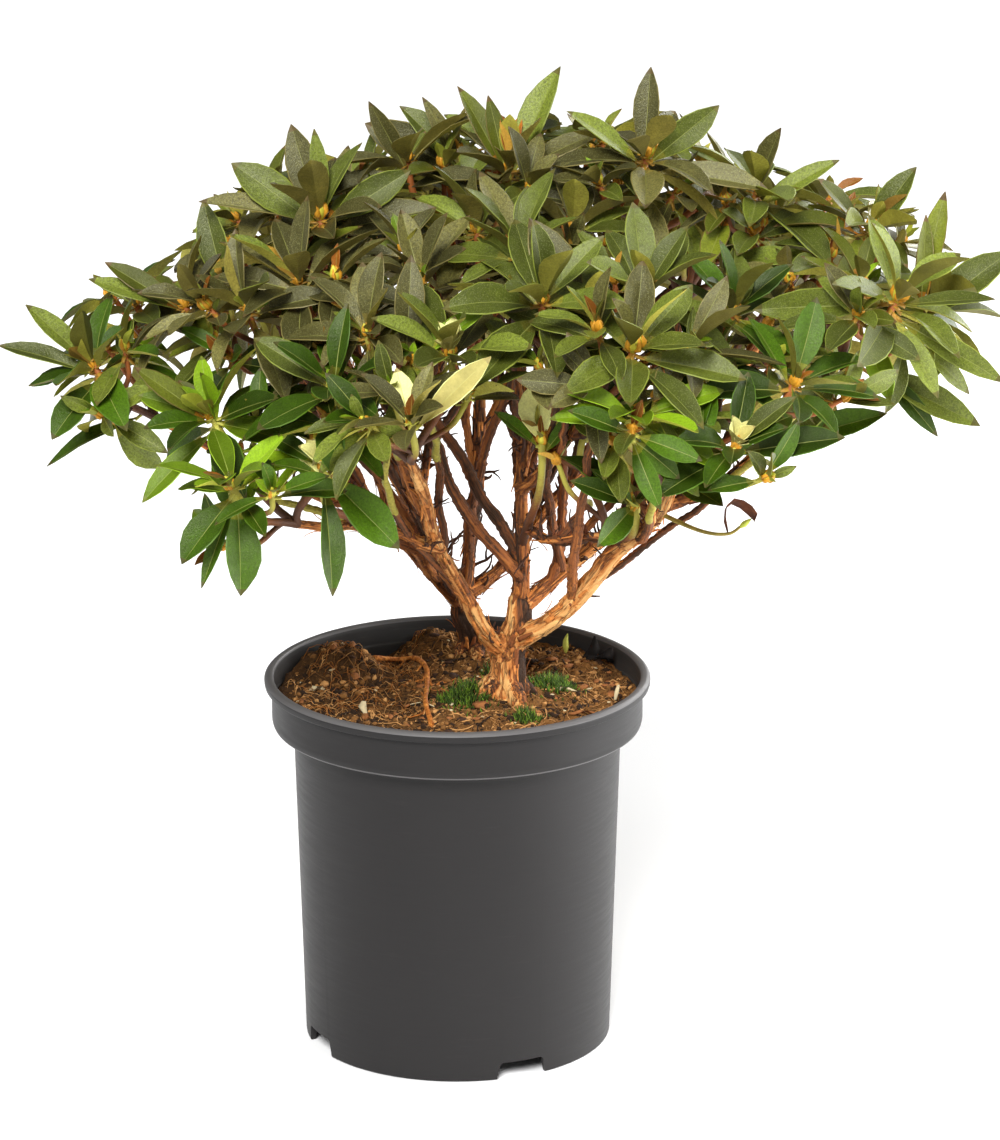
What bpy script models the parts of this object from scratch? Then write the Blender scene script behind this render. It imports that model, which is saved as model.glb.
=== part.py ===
"""A dwarf rhododendron in a plain five-litre nursery pot.

The pot stands on its flat underside at the origin, +Z is up and the front looks along -Y. A leaning trunk
and a stem behind it fork into tapering boughs. Each bough ends where a mass of foliage begins, and each
mass is one solid: twigs that fan out from one stem, each ending in a whorl of leaves round a bud.
All sizes are in metres and all angles in degrees.
"""

import math
import random

import bmesh
import bpy
from mathutils import Matrix, Vector
from mathutils.bvhtree import BVHTree

GAP = 0.0003

POT_HEIGHT = 0.221
LIP_RADIUS = 0.113
LIP_HEIGHT = 0.0065
LIP_ROUND = 0.001
LIP_CURL = 0.0035
BAND_RADIUS = 0.1085
BAND_HEIGHT = 0.023
BAND_ROUND = 0.003
BODY_TOP_RADIUS = 0.0958
BODY_FOOT_RADIUS = 0.0900
SHOULDER = 0.004
WALL = 0.002
FLOOR_RISE = 0.0105
FOOT_RING = 0.0034
FOOT_ROUND = 0.0006
CENTRE_FOOT_RADIUS = 0.018
POT_SIDES = 34
NOTCH_WIDTH = 0.027
NOTCH_SLANT = 0.005
NOTCH_DEPTH = 0.020
NOTCH_TURN = -65.0
DRAIN_RADIUS = 0.006
DRAIN_REACH = 0.055
DRAIN_SIDES = 10
SHARP_ANGLE = 35.0

SOIL_LEVEL = POT_HEIGHT - 0.0145
SOIL_SIDES = 28
SOIL_RINGS = 5
SOIL_RING_POWER = 0.8
# Each mound or hollow in the soil: where it is, how high it stands and how wide it spreads.
SOIL_MOUNDS = (
    ((-0.070, 0.050), 0.017, 0.022),
    ((-0.016, 0.082), 0.012, 0.016),
    ((-0.050, 0.078), -0.012, 0.022),
    ((0.010, 0.068), 0.008, 0.028),
    ((0.064, 0.056), 0.006, 0.030),
    ((0.030, -0.005), 0.006, 0.035),
    ((-0.045, -0.055), -0.005, 0.040),
)

GROUND = POT_HEIGHT - 0.016
TRUNK_SIDES = 10
BOUGH_SIDES = 8
STEM_SIDES = 6
TWIG_SIDES = 3
CROOK = 0.0022
# A stem's stations as shares of its length, the flare's radius at the second and the taper at the fork.
STEM_SHARES = (0.0, 0.1, 0.22, 0.5, 0.8, 1.0)
FLARE_EASE = 0.82
FORK_TAPER = 0.86
# The plant's places are measured from the middle of the pot's mouth.
MOUTH = Vector((0.0, 0.0, POT_HEIGHT))
# Each stem out of the soil: its foot on the ground, its fork, and its radius at the flare, above it and
# at the fork.
STEMS = (
    ("trunk", (0.028, -0.012), (0.036, -0.006, 0.048), (0.0150, 0.0108, 0.0088)),
    ("back_stem", (0.010, 0.064), (0.004, 0.056, 0.030), (0.0125, 0.0088, 0.0080)),
)
# Each mass of foliage: the middle of its whorls, how many, how far they spread and how they are turned.
MASSES = (
    ("far_left_leaves", (-0.201, 0.008, 0.204), 2, 0.033, 20.0),
    ("left_low_leaves", (-0.108, -0.120, 0.174), 3, 0.038, 130.0),
    ("left_upper_leaves", (-0.126, -0.028, 0.240), 3, 0.037, 195.0),
    ("top_left_leaves", (-0.079, 0.038, 0.270), 3, 0.036, 40.0),
    ("centre_left_leaves", (-0.054, -0.073, 0.245), 3, 0.040, 350.0),
    ("front_left_leaves", (-0.034, -0.145, 0.218), 3, 0.034, 355.0),
    ("top_centre_leaves", (0.006, 0.050, 0.292), 3, 0.037, 90.0),
    ("centre_leaves", (0.035, -0.030, 0.268), 3, 0.034, 170.0),
    ("front_centre_leaves", (0.080, -0.110, 0.242), 3, 0.034, 275.0),
    ("top_right_leaves", (0.114, 0.035, 0.300), 3, 0.037, 20.0),
    ("right_upper_leaves", (0.208, 0.034, 0.268), 3, 0.040, 315.0),
    ("far_right_leaves", (0.246, -0.026, 0.238), 3, 0.038, 110.0),
    ("right_mid_leaves", (0.163, -0.104, 0.228), 3, 0.034, 20.0),
    ("front_right_leaves", (0.132, -0.148, 0.200), 3, 0.033, 10.0),
    ("inner_low_leaves", (0.096, -0.090, 0.160), 2, 0.028, 65.0),
    ("top_back_leaves", (0.062, 0.118, 0.278), 3, 0.042, 60.0),
    ("back_left_leaves", (-0.094, 0.118, 0.240), 4, 0.046, 100.0),
    ("back_mid_leaves", (-0.016, 0.168, 0.244), 3, 0.044, 80.0),
    ("back_right_leaves", (0.146, 0.128, 0.248), 4, 0.048, 40.0),
    ("back_low_left_leaves", (-0.104, 0.188, 0.192), 3, 0.042, 110.0),
    ("back_low_leaves", (0.040, 0.214, 0.196), 3, 0.042, 90.0),
    ("back_low_right_leaves", (0.180, 0.178, 0.194), 3, 0.042, 60.0),
)
# Each bough: the limb it leaves and how far along it, the mass that it carries, its radius where it leaves,
# and how far its middle is bowed to the right, away and up.
BOUGHS = (
    ("left_bough", "trunk", 0.56, "front_left_leaves", 0.0070, (-0.010, 0.018, -0.004)),
    ("centre_bough", "trunk", 0.97, "centre_leaves", 0.0064, (0.003, 0, 0)),
    ("right_low_bough", "trunk", 0.66, "right_mid_leaves", 0.0076, (0.006, 0.004, -0.010)),
    ("right_high_bough", "trunk", 0.90, "right_upper_leaves", 0.0064, (0.006, 0.010, -0.014)),
    ("left_back_bough", "back_stem", 0.90, "left_upper_leaves", 0.0066, (0.004, 0.010, -0.016)),
    ("back_centre_bough", "back_stem", 0.97, "top_centre_leaves", 0.0062, (0.004, 0, 0)),
    ("back_left_bough", "back_stem", 0.93, "back_left_leaves", 0.0062, (0.006, 0.004, -0.018)),
    ("back_right_bough", "back_stem", 0.98, "back_right_leaves", 0.0062, (0, 0.010, -0.020)),
    ("left_low_bough", "left_bough", 0.58, "left_low_leaves", 0.0048, (0, 0, 0.004)),
    ("centre_left_bough", "left_bough", 0.66, "centre_left_leaves", 0.0046, (-0.004, 0, 0)),
    ("front_centre_bough", "centre_bough", 0.45, "front_centre_leaves", 0.0050, (0, 0, -0.004)),
    ("inner_low_bough", "centre_bough", 0.30, "inner_low_leaves", 0.0042, (0, -0.004, -0.004)),
    ("front_right_bough", "right_low_bough", 0.55, "front_right_leaves", 0.0048, (0, 0, -0.006)),
    ("far_right_bough", "right_low_bough", 0.72, "far_right_leaves", 0.0050, (0, 0, -0.012)),
    ("top_right_bough", "right_high_bough", 0.42, "top_right_leaves", 0.0048, (0, 0, 0)),
    ("far_left_bough", "left_back_bough", 0.58, "far_left_leaves", 0.0046, (0, 0, -0.010)),
    ("top_left_bough", "left_back_bough", 0.45, "top_left_leaves", 0.0046, (0, 0, 0)),
    ("top_back_bough", "back_centre_bough", 0.50, "top_back_leaves", 0.0046, (0, 0.004, 0)),
    ("back_low_left_bough", "back_left_bough", 0.45, "back_low_left_leaves", 0.0044, (0, 0, 0)),
    ("back_mid_bough", "back_left_bough", 0.40, "back_mid_leaves", 0.0044, (0, 0.004, 0)),
    ("back_low_bough", "back_right_bough", 0.35, "back_low_leaves", 0.0044, (0, 0, 0)),
    ("back_low_right_bough", "back_right_bough", 0.50, "back_low_right_leaves", 0.0044, (0, 0, 0)),
)
BOUGH_STATIONS = 7
THICK_BOUGH = 0.0055
# A bough's radius where it ends is this much, and this share of its radius where it leaves.
BOUGH_TIP_RADIUS = 0.0018
BOUGH_TIP_SHARE = 0.38
STEM_LENGTH = 0.012
MASS_DEPTH = 0.066

CROWN_FOCUS = MOUTH + Vector((0.028, 0.010, 0.088))
# The taper of a mass's stem at the hub of its twigs and just past it.
HUB_TAPER = (0.9, 0.5)
TWIG_STATIONS = 3
TWIG_EASE = 0.38
# How far a shoot strays from its even place: its turn, the share of its reach, its lift and the share of
# its size.
SHOOT_TURN = 12.0
SHOOT_REACH = 0.12
SHOOT_LIFT = 0.008
SHOOT_SIZE = 0.08
SHOOT_RADIUS = 0.0030
SHOOT_TIP_RADIUS = 0.0024
BUD_LENGTH = 0.008
BUD_RADIUS = 0.0030
WHORL_LENGTH = 0.013
LEAVES_A_WHORL = 7
LEAF_LENGTH = 0.061
LEAF_WIDTH = 0.36
INNER_LEAF = 0.80
LEAF_ARCH = 0.045
# A blade's corners, from its base round its left edge to its tip and back: shares of its length, of half its
# width and of its arch.
LEAF_OUTLINE = (
    (0.0, 0.0, 0.0),
    (0.36, 0.9, 1.0),
    (0.70, 0.86, 0.9),
    (1.0, 0.0, -0.6),
    (0.70, -0.86, 0.9),
    (0.36, -0.9, 1.0),
)
ROOT_SPREAD = 0.85
PITCH_POWER = 1.25
GOLDEN_TURN = 137.5
LOWEST_PITCH = -14.0
HIGHEST_PITCH = 66.0
# Whorls below this height hang their outer leaves, fully so at this depth further down.
DROOP_BELOW = POT_HEIGHT + 0.225
DROOP_DEPTH = 0.050
DROOP = 22.0
LEAF_CLEARANCE = 0.0005
# How far a twig is swung round its mass, in turn, until it is clear.
TWIG_TRIES = (0, 20, -20, 40, -40, 60, -60)
# What is tried in turn for a leaf that would touch another: a lift, a turn and a share of its length.
LEAF_TRIES = (
    (0, 0, 1.0), (10, 12, 1.0), (-10, -12, 1.0), (20, -14, 0.95), (16, 22, 0.92), (-18, 16, 0.9),
    (30, 0, 0.88), (-26, -8, 0.86), (38, 18, 0.8), (40, -18, 0.78), (8, 0, 0.72), (46, 0, 0.66),
)

POT_GREY = (0.050, 0.048, 0.048)
SOIL_BROWN = (0.085, 0.045, 0.022)
BARK_TAN = (0.330, 0.160, 0.070)
LEAF_GREEN = (0.075, 0.120, 0.035)


def material(name, colour, roughness):
    """A plain finish in one colour."""
    made = bpy.data.materials.new(name)
    made.use_nodes = True
    shader = made.node_tree.nodes["Principled BSDF"]
    shader.inputs["Base Color"].default_value = (*colour, 1.0)
    shader.inputs["Roughness"].default_value = roughness
    shader.inputs["Metallic"].default_value = 0.0
    return made


def finished(bm, name, finish=None):
    """An object that holds this bmesh, its faces turned outwards."""
    bmesh.ops.recalc_face_normals(bm, faces=bm.faces)
    mesh = bpy.data.meshes.new(name)
    bm.to_mesh(mesh)
    bm.free()
    obj = bpy.data.objects.new(name, mesh)
    bpy.context.scene.collection.objects.link(obj)
    if finish:
        mesh.materials.append(finish)
    return obj


def smooth(obj):
    obj.data.shade_smooth()
    obj.data.set_sharp_from_angle(angle=math.radians(SHARP_ANGLE))


def is_closed(mesh):
    """Whether exactly two faces meet at every edge."""
    bm = bmesh.new()
    bm.from_mesh(mesh)
    closed = all(edge.is_manifold for edge in bm.edges)
    bm.free()
    return closed


def combine(obj, others, operation):
    """Joins the others to the object, or cuts them from it, and removes them."""
    group = bpy.data.collections.new(obj.name + "_tools")
    bpy.context.scene.collection.children.link(group)
    for other in others:
        bpy.context.scene.collection.objects.unlink(other)
        group.objects.link(other)
    modifier = obj.modifiers.new("Join", "BOOLEAN")
    modifier.operation = operation
    modifier.operand_type = "COLLECTION"
    modifier.collection = group
    for solver in ("EXACT", "MANIFOLD"):
        modifier.solver = solver
        graph = bpy.context.evaluated_depsgraph_get()
        joined = bpy.data.meshes.new_from_object(obj.evaluated_get(graph))
        if is_closed(joined):
            break
    obj.modifiers.clear()
    obj.data = joined
    for other in others:
        bpy.data.objects.remove(other)
    bpy.data.collections.remove(group)


def keep_main_body(obj):
    """Leaves the largest closed shell, so that sealed hollows are filled and loose scraps dropped."""
    bm = bmesh.new()
    bm.from_mesh(obj.data)
    bmesh.ops.triangulate(bm, faces=bm.faces)
    left = set(bm.faces)
    shells = []
    while left:
        shell = [left.pop()]
        for face in shell:
            near = {other for edge in face.edges for other in edge.link_faces} & left
            left -= near
            shell.extend(near)
        shells.append(shell)
    shells.sort(key=len)
    scraps = [face for shell in shells[:-1] for face in shell]
    bmesh.ops.delete(bm, geom=scraps, context="FACES")
    bm.to_mesh(obj.data)
    bm.free()


def turned(profile, sides, name, finish=None):
    """A closed shape turned round the Z axis from a profile of radii and heights that ends on the axis."""
    bm = bmesh.new()
    corners = [bm.verts.new((radius, 0.0, height)) for radius, height in profile]
    edges = [bm.edges.new(pair) for pair in zip(corners, corners[1:])]
    bmesh.ops.spin(
        bm,
        geom=corners + edges,
        axis=(0, 0, 1),
        cent=(0, 0, 0),
        angle=math.tau,
        steps=sides,
        use_merge=True,
    )
    bmesh.ops.remove_doubles(bm, verts=bm.verts, dist=1e-6)
    return finished(bm, name, finish)


def pot_inside():
    """The inner profile of the pot from its mouth down to the middle of its floor."""
    band_foot = POT_HEIGHT - LIP_HEIGHT - BAND_HEIGHT
    return [
        (BAND_RADIUS - WALL, POT_HEIGHT - LIP_CURL),
        (BAND_RADIUS - WALL, band_foot + WALL),
        (BODY_TOP_RADIUS - WALL, band_foot - SHOULDER + LIP_ROUND),
        (BODY_FOOT_RADIUS - WALL, FLOOR_RISE + WALL),
        (CENTRE_FOOT_RADIUS + WALL, FLOOR_RISE + WALL),
        (CENTRE_FOOT_RADIUS - WALL, WALL),
        (0.0, WALL),
    ]


def pot_outside():
    """The outer profile from the middle of the underside up to the lip."""
    band_foot = POT_HEIGHT - LIP_HEIGHT - BAND_HEIGHT
    lip_foot = POT_HEIGHT - LIP_HEIGHT
    return [
        (0.0, 0.0),
        (CENTRE_FOOT_RADIUS, 0.0),
        (CENTRE_FOOT_RADIUS + 2 * WALL, FLOOR_RISE),
        (BODY_FOOT_RADIUS - FOOT_RING - FOOT_ROUND, FLOOR_RISE),
        (BODY_FOOT_RADIUS - FOOT_RING, 0.0),
        (BODY_FOOT_RADIUS - FOOT_ROUND, 0.0),
        (BODY_FOOT_RADIUS, 2 * FOOT_ROUND),
        (BODY_TOP_RADIUS, band_foot - SHOULDER),
        (BAND_RADIUS - BAND_ROUND / 2, band_foot),
        (BAND_RADIUS, band_foot + BAND_ROUND),
        (BAND_RADIUS, lip_foot),
        (LIP_RADIUS - LIP_ROUND, lip_foot + LIP_ROUND),
        (LIP_RADIUS, lip_foot + 3 * LIP_ROUND),
        (LIP_RADIUS - LIP_ROUND, POT_HEIGHT - LIP_ROUND),
        (LIP_RADIUS - 3 * LIP_ROUND, POT_HEIGHT),
        (BAND_RADIUS - WALL + LIP_ROUND, POT_HEIGHT - LIP_ROUND),
    ]


def placed_round(turn, reach, height):
    """A place at this reach from the pot's axis, turned round it."""
    return Matrix.Rotation(math.radians(turn), 4, "Z") @ Matrix.Translation((reach, 0, height))


def notch(turn):
    """A cutter for one of the slots in the foot ring, wider at the bottom."""
    bm = bmesh.new()
    bmesh.ops.create_cube(bm, size=1.0)
    size = Matrix.Diagonal((NOTCH_DEPTH, NOTCH_WIDTH, FLOOR_RISE, 1.0))
    bmesh.ops.transform(bm, matrix=size, verts=bm.verts)
    for corner in bm.verts:
        if corner.co.z < 0:
            corner.co.y += math.copysign(NOTCH_SLANT / 2, corner.co.y)
            corner.co.z -= WALL
    place = placed_round(turn, BODY_FOOT_RADIUS, FLOOR_RISE / 2 - GAP)
    bmesh.ops.transform(bm, matrix=place, verts=bm.verts)
    return finished(bm, "notch")


def drain(turn):
    """A cutter for one of the drain holes in the raised floor."""
    bm = bmesh.new()
    bmesh.ops.create_cone(
        bm,
        cap_ends=True,
        segments=DRAIN_SIDES,
        radius1=DRAIN_RADIUS,
        radius2=DRAIN_RADIUS,
        depth=4 * WALL,
        matrix=placed_round(turn, DRAIN_REACH, FLOOR_RISE + WALL / 2),
    )
    return finished(bm, "drain")


def make_pot(finish):
    pot = turned(pot_outside() + pot_inside(), POT_SIDES, "pot", finish)
    cutters = []
    for quarter in range(4):
        turn = NOTCH_TURN + 90.0 * quarter
        cutters += [notch(turn), drain(turn + 45.0)]
    combine(pot, cutters, "DIFFERENCE")
    smooth(pot)


def soil_height(x, y):
    """The height of the soil's surface at this place."""
    height = SOIL_LEVEL
    for (mound_x, mound_y), rise, spread in SOIL_MOUNDS:
        away = math.hypot(x - mound_x, y - mound_y) / spread
        height += rise * math.exp(-away * away)
    return height


def make_soil(finish, stems):
    """The ball of peat that fills the pot, its top in mounds and hollows, and pressed round the stems."""
    inside = [(max(0.0, radius - GAP), height + GAP) for radius, height in pot_inside()]
    edge_radius = inside[1][0]
    shares = [(ring / SOIL_RINGS) ** SOIL_RING_POWER for ring in range(SOIL_RINGS + 1)]
    top = [(edge_radius * share, SOIL_LEVEL) for share in shares]
    soil = turned(top + inside[1:], SOIL_SIDES, "soil", finish)
    shrink = math.cos(math.pi / POT_SIDES)
    for vertex in soil.data.vertices:
        if vertex.co.z > SOIL_LEVEL - GAP:
            vertex.co.z = soil_height(vertex.co.x, vertex.co.y)
        vertex.co.x *= shrink
        vertex.co.y *= shrink
    keep_main_body(soil)
    combine(soil, [finished(stem.shape(GAP), "clearance") for stem in stems], "DIFFERENCE")
    keep_main_body(soil)
    smooth(soil)


def ways_along(route):
    """The way that a route runs at each of its stations."""
    before = [route[0], *route[:-1]]
    after = [*route[1:], route[-1]]
    return [(end - start).normalized() for start, end in zip(before, after)]


def frames_along(route, ways):
    """A frame at each station of a route, its Z along the route and turned as little as can be."""
    frames = []
    side = Vector((1.0, 0.0, 0.0))
    for point, along in zip(route, ways):
        side = (side - along * side.dot(along)).normalized()
        across = along.cross(side)
        frames.append(Matrix((
            (side.x, across.x, along.x, point.x),
            (side.y, across.y, along.y, point.y),
            (side.z, across.z, along.z, point.z),
            (0.0, 0.0, 0.0, 1.0),
        )))
    return frames


def tube(route, ways, radii, sides):
    """A tapering limb: a ring of corners extruded from station to station, its ends capped flat."""
    bm = bmesh.new()
    places = [
        frame @ Matrix.Diagonal((radius, radius, 1.0, 1.0))
        for frame, radius in zip(frames_along(route, ways), radii)
    ]
    bmesh.ops.create_circle(bm, segments=sides, radius=1.0, matrix=places[0])
    ring = list(bm.edges)
    for place, following in zip(places, places[1:]):
        made = bmesh.ops.extrude_edge_only(bm, edges=ring)["geom"]
        ring = [part for part in made if isinstance(part, bmesh.types.BMEdge)]
        corners = [part for part in made if isinstance(part, bmesh.types.BMVert)]
        bmesh.ops.transform(bm, matrix=following @ place.inverted(), verts=corners)
    bmesh.ops.holes_fill(bm, edges=bm.edges, sides=sides)
    bmesh.ops.triangulate(bm, faces=bm.faces)
    bm.verts.index_update()
    return bm


class Limb:
    """A trunk, stem or bough: its route, its radii and its sides."""

    def __init__(self, route, radii, sides, rooted=False):
        self.route = route
        self.ways = ways_along(route)
        if rooted:
            self.ways[0] = Vector((0.0, 0.0, 1.0))
        self.radii = radii
        self.sides = sides

    def shape(self, extra=0.0):
        """The limb as a bmesh, or a copy that stands proud of it all round."""
        start = self.route[0] - self.ways[0] * extra
        end = self.route[-1] + self.ways[-1] * extra
        radii = [radius + extra for radius in self.radii]
        return tube([start, *self.route[1:-1], end], self.ways, radii, self.sides)

    def at(self, share):
        """The point on the axis this far along its stations."""
        place = share * (len(self.route) - 1)
        index = min(int(place), len(self.route) - 2)
        return self.route[index].lerp(self.route[index + 1], place - index)


def outward(point):
    """The way that a shoot at this place in the crown looks: out from the crown's heart, and up."""
    away = (point - CROWN_FOCUS).normalized()
    return (away + Vector((0, 0, 1))).normalized()


def bent(start, end, bow, stations):
    """A smooth route from start to end whose middle is moved by the bow."""
    middle = (start + end) / 2 + 2 * bow
    points = []
    for station in range(stations):
        share = station / (stations - 1)
        points.append(start.lerp(middle, share).lerp(middle.lerp(end, share), share))
    return points


def crooked(route, rng):
    """The same route with its inner stations moved a little, as bark-bound wood grows."""
    moved = [route[0]]
    for point in route[1:-1]:
        moved.append(point + Vector(rng.uniform(-CROOK, CROOK) for _ in range(3)))
    return moved + [route[-1]]


def grow_stems(rng):
    """The trunk and the stem behind it, each with a root flare above a flat cut at ground level."""
    stems = {}
    for name, (foot_x, foot_y), fork, (flare, above, top) in STEMS:
        foot = Vector((foot_x, foot_y, GROUND))
        fork = MOUTH + Vector(fork)
        radii = [flare, flare * FLARE_EASE, above, above, (above + top) / 2, top * FORK_TAPER]
        route = crooked([foot.lerp(fork, share) for share in STEM_SHARES], rng)
        stems[name] = Limb(route, radii, TRUNK_SIDES, rooted=True)
    return stems


def grow_boughs(limbs, rng):
    """Adds each bough, from inside the limb that it leaves to just short of its mass."""
    centres = {name: MOUTH + Vector(centre) for name, centre, *_ in MASSES}
    carriers = {}
    for name, parent, share, mass, radius, bow in BOUGHS:
        start = limbs[parent].at(share)
        tip_radius = BOUGH_TIP_RADIUS + BOUGH_TIP_SHARE * radius
        tip = centres[mass] - outward(centres[mass]) * MASS_DEPTH
        route = crooked(bent(start, tip, Vector(bow), BOUGH_STATIONS), rng)
        radii = [
            radius + (tip_radius - radius) * station / (BOUGH_STATIONS - 1)
            for station in range(BOUGH_STATIONS)
        ]
        limbs[name] = Limb(route, radii, BOUGH_SIDES if radius > THICK_BOUGH else STEM_SIDES)
        carriers[mass] = limbs[name]
    return carriers


def make_limbs(limbs, finish):
    """Builds the limbs, each cut clear of those that were there before it."""
    trees = {}
    for name, limb in limbs.items():
        bm = limb.shape()
        tree = swollen_tree(bm, GAP)
        obj = finished(bm, name, finish)
        near = [limbs[other] for other, other_tree in trees.items() if tree.overlap(other_tree)]
        trees[name] = tree
        if near:
            combine(obj, [finished(other.shape(GAP), "clearance") for other in near], "DIFFERENCE")
            keep_main_body(obj)
        smooth(obj)
    return trees


def eased(start, start_way, end, end_way, stations):
    """A route that leaves start along one way and arrives at end along another."""
    reach = (end - start).length
    first = start + start_way * reach * TWIG_EASE
    last = end - end_way * reach * TWIG_EASE
    points = []
    for station in range(stations):
        t = station / (stations - 1)
        s = 1 - t
        points.append(start * s ** 3 + first * 3 * s * s * t + last * 3 * s * t * t + end * t ** 3)
    return points


class Whorl:
    """The end of one twig: where its bud sits, which way it looks, and its leaves."""

    def __init__(self, tip, way, turn, size):
        self.tip = tip
        self.way = way
        self.turn = turn
        self.size = size


class Mass:
    """The stem of a mass of foliage and the places of its whorls."""

    def __init__(self, centre, shoots, spread, turn, carrier):
        self.centre = centre
        self.shoots = shoots
        self.spread = spread
        self.turn = turn
        self.stem_way = carrier.ways[-1]
        self.stem_start = carrier.route[-1] + self.stem_way * GAP
        self.stem_radius = carrier.radii[-1]
        self.hub = self.stem_start + self.stem_way * STEM_LENGTH
        self.way = outward(centre)

    def stem(self):
        route = [self.stem_start, self.hub, self.hub + self.stem_way * STEM_LENGTH / 4]
        radii = [self.stem_radius] + [self.stem_radius * taper for taper in HUB_TAPER]
        return route, tube(route, [self.stem_way] * len(route), radii, STEM_SIDES)

    def whorl(self, shoot, swing, looks):
        """The whorl of this shoot, swung round the mass by some degrees."""
        turn, reach, lift, leaf_turn, size = looks
        side = self.way.cross(Vector((0, 0, 1))).normalized()
        over = side.cross(self.way)
        angle = math.radians(self.turn + 360.0 * shoot / self.shoots + turn + swing)
        offset = (side * math.cos(angle) + over * math.sin(angle)) * self.spread * reach
        tip = self.centre + offset + self.way * lift
        return Whorl(tip, outward(tip), leaf_turn, size)


def twig_of(mass, whorl):
    """The twig of a whorl, from inside the stem of its mass to the point of its bud."""
    base = whorl.tip - whorl.way * WHORL_LENGTH
    start = mass.hub - mass.stem_way * STEM_LENGTH / 3
    leave = (mass.stem_way + (base - start).normalized()).normalized()
    route = eased(start, leave, base, whorl.way, TWIG_STATIONS)
    ways = [leave, *ways_along(route)[1:-1], whorl.way, whorl.way, whorl.way]
    radii = [SHOOT_RADIUS] * (TWIG_STATIONS - 1) + [SHOOT_TIP_RADIUS, BUD_RADIUS, BUD_RADIUS * 0.25]
    route += [whorl.tip, whorl.tip + whorl.way * BUD_LENGTH]
    return route, tube(route, ways, radii, TWIG_SIDES)


def leaf(root, way, face, length):
    """A blade of eight triangles: pointed at both ends, arched above the line between them."""
    across = way.cross(face).normalized()
    up = across.cross(way)
    half = length * LEAF_WIDTH / 2
    arch = length * LEAF_ARCH
    bm = bmesh.new()
    base, left, left_tip, tip, right_tip, right = (
        bm.verts.new(root + way * along * length + across * side * half + up * rise * arch)
        for along, side, rise in LEAF_OUTLINE
    )
    foot = ((base, right, left), (left, right, right_tip))
    upper = ((left, right_tip, left_tip), (left_tip, right_tip, tip))
    lower = ((base, left, tip), (left, left_tip, tip), (base, tip, right), (tip, right_tip, right))
    for corners in foot + upper + lower:
        bm.faces.new(corners)
    bmesh.ops.recalc_face_normals(bm, faces=bm.faces)
    bm.verts.index_update()
    return bm


def leaf_pose(whorl, order, lift, turn, share):
    """Where the leaf with this place in the whorl is rooted, its two ways and its length."""
    place = order / (LEAVES_A_WHORL - 1)
    low = max(0.0, min(1.0, (DROOP_BELOW - whorl.tip.z) / DROOP_DEPTH))
    pitch = LOWEST_PITCH - DROOP * low + (HIGHEST_PITCH - LOWEST_PITCH) * place ** PITCH_POWER + lift
    rise = math.sin(math.radians(pitch))
    run = math.cos(math.radians(pitch))
    azimuth = math.radians(whorl.turn + GOLDEN_TURN * order + turn)
    out = Matrix.Rotation(azimuth, 3, whorl.way) @ whorl.way.orthogonal().normalized()
    way = (out * run + whorl.way * rise).normalized()
    face = (whorl.way * run - out * rise).normalized()
    root = whorl.tip - whorl.way * WHORL_LENGTH * (1.0 - place) * ROOT_SPREAD
    length = LEAF_LENGTH * whorl.size * (1.0 - (1.0 - INNER_LEAF) * place) * share
    return root, way, face, length


def swollen_tree(bm, extra):
    """A search tree of this shape with each corner moved out, to test that it stays clear."""
    bm.normal_update()
    points = [vertex.co + vertex.normal * extra for vertex in bm.verts]
    faces = [[vertex.index for vertex in face.verts] for face in bm.faces]
    return BVHTree.FromPolygons(points, faces)


class Placed:
    """A piece that is there: its search tree, a ball round it, and the mass and whorl it belongs to."""

    def __init__(self, tree, route, mass=None, whorl=None):
        self.tree = tree
        self.centre = (route[0] + route[-1]) / 2
        self.reach = max((point - self.centre).length for point in route) + 2 * SHOOT_RADIUS
        self.mass = mass
        self.whorl = whorl

    def touches(self, other):
        near = (self.centre - other.centre).length < self.reach + other.reach
        return near and bool(self.tree.overlap(other.tree))


def place_twig(mass, shoot, placed, rng):
    """The twig of this shoot, swung round the mass until it is clear of the limbs and of other masses."""
    looks = (
        rng.uniform(-SHOOT_TURN, SHOOT_TURN),
        rng.uniform(1 - SHOOT_REACH, 1 + SHOOT_REACH),
        rng.uniform(-SHOOT_LIFT, SHOOT_LIFT),
        rng.uniform(0, 360),
        rng.uniform(1 - SHOOT_SIZE, 1 + SHOOT_SIZE),
    )
    for swing in TWIG_TRIES:
        whorl = mass.whorl(shoot, swing, looks)
        route, bm = twig_of(mass, whorl)
        twig = Placed(swollen_tree(bm, LEAF_CLEARANCE), route, mass, whorl)
        if not any(other.mass is not mass and twig.touches(other) for other in placed):
            placed.append(twig)
            return whorl, bm
        bm.free()
    return None


def place_leaves(mass, whorl, placed):
    """The leaves of a whorl that find room, each lifted, turned or shortened until it is clear."""
    leaves = []
    others = [
        other for other in placed
        if other.whorl is not whorl and (other.mass is not mass or other.whorl is not None)
    ]
    for order in range(LEAVES_A_WHORL):
        for lift, turn, share in LEAF_TRIES:
            root, way, face, length = leaf_pose(whorl, order, lift, turn, share)
            bm = leaf(root, way, face, length)
            blade = Placed(swollen_tree(bm, LEAF_CLEARANCE), [root, root + way * length], mass, whorl)
            if not any(blade.touches(other) for other in others):
                placed.append(blade)
                leaves.append(bm)
                break
            bm.free()
    return leaves


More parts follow.
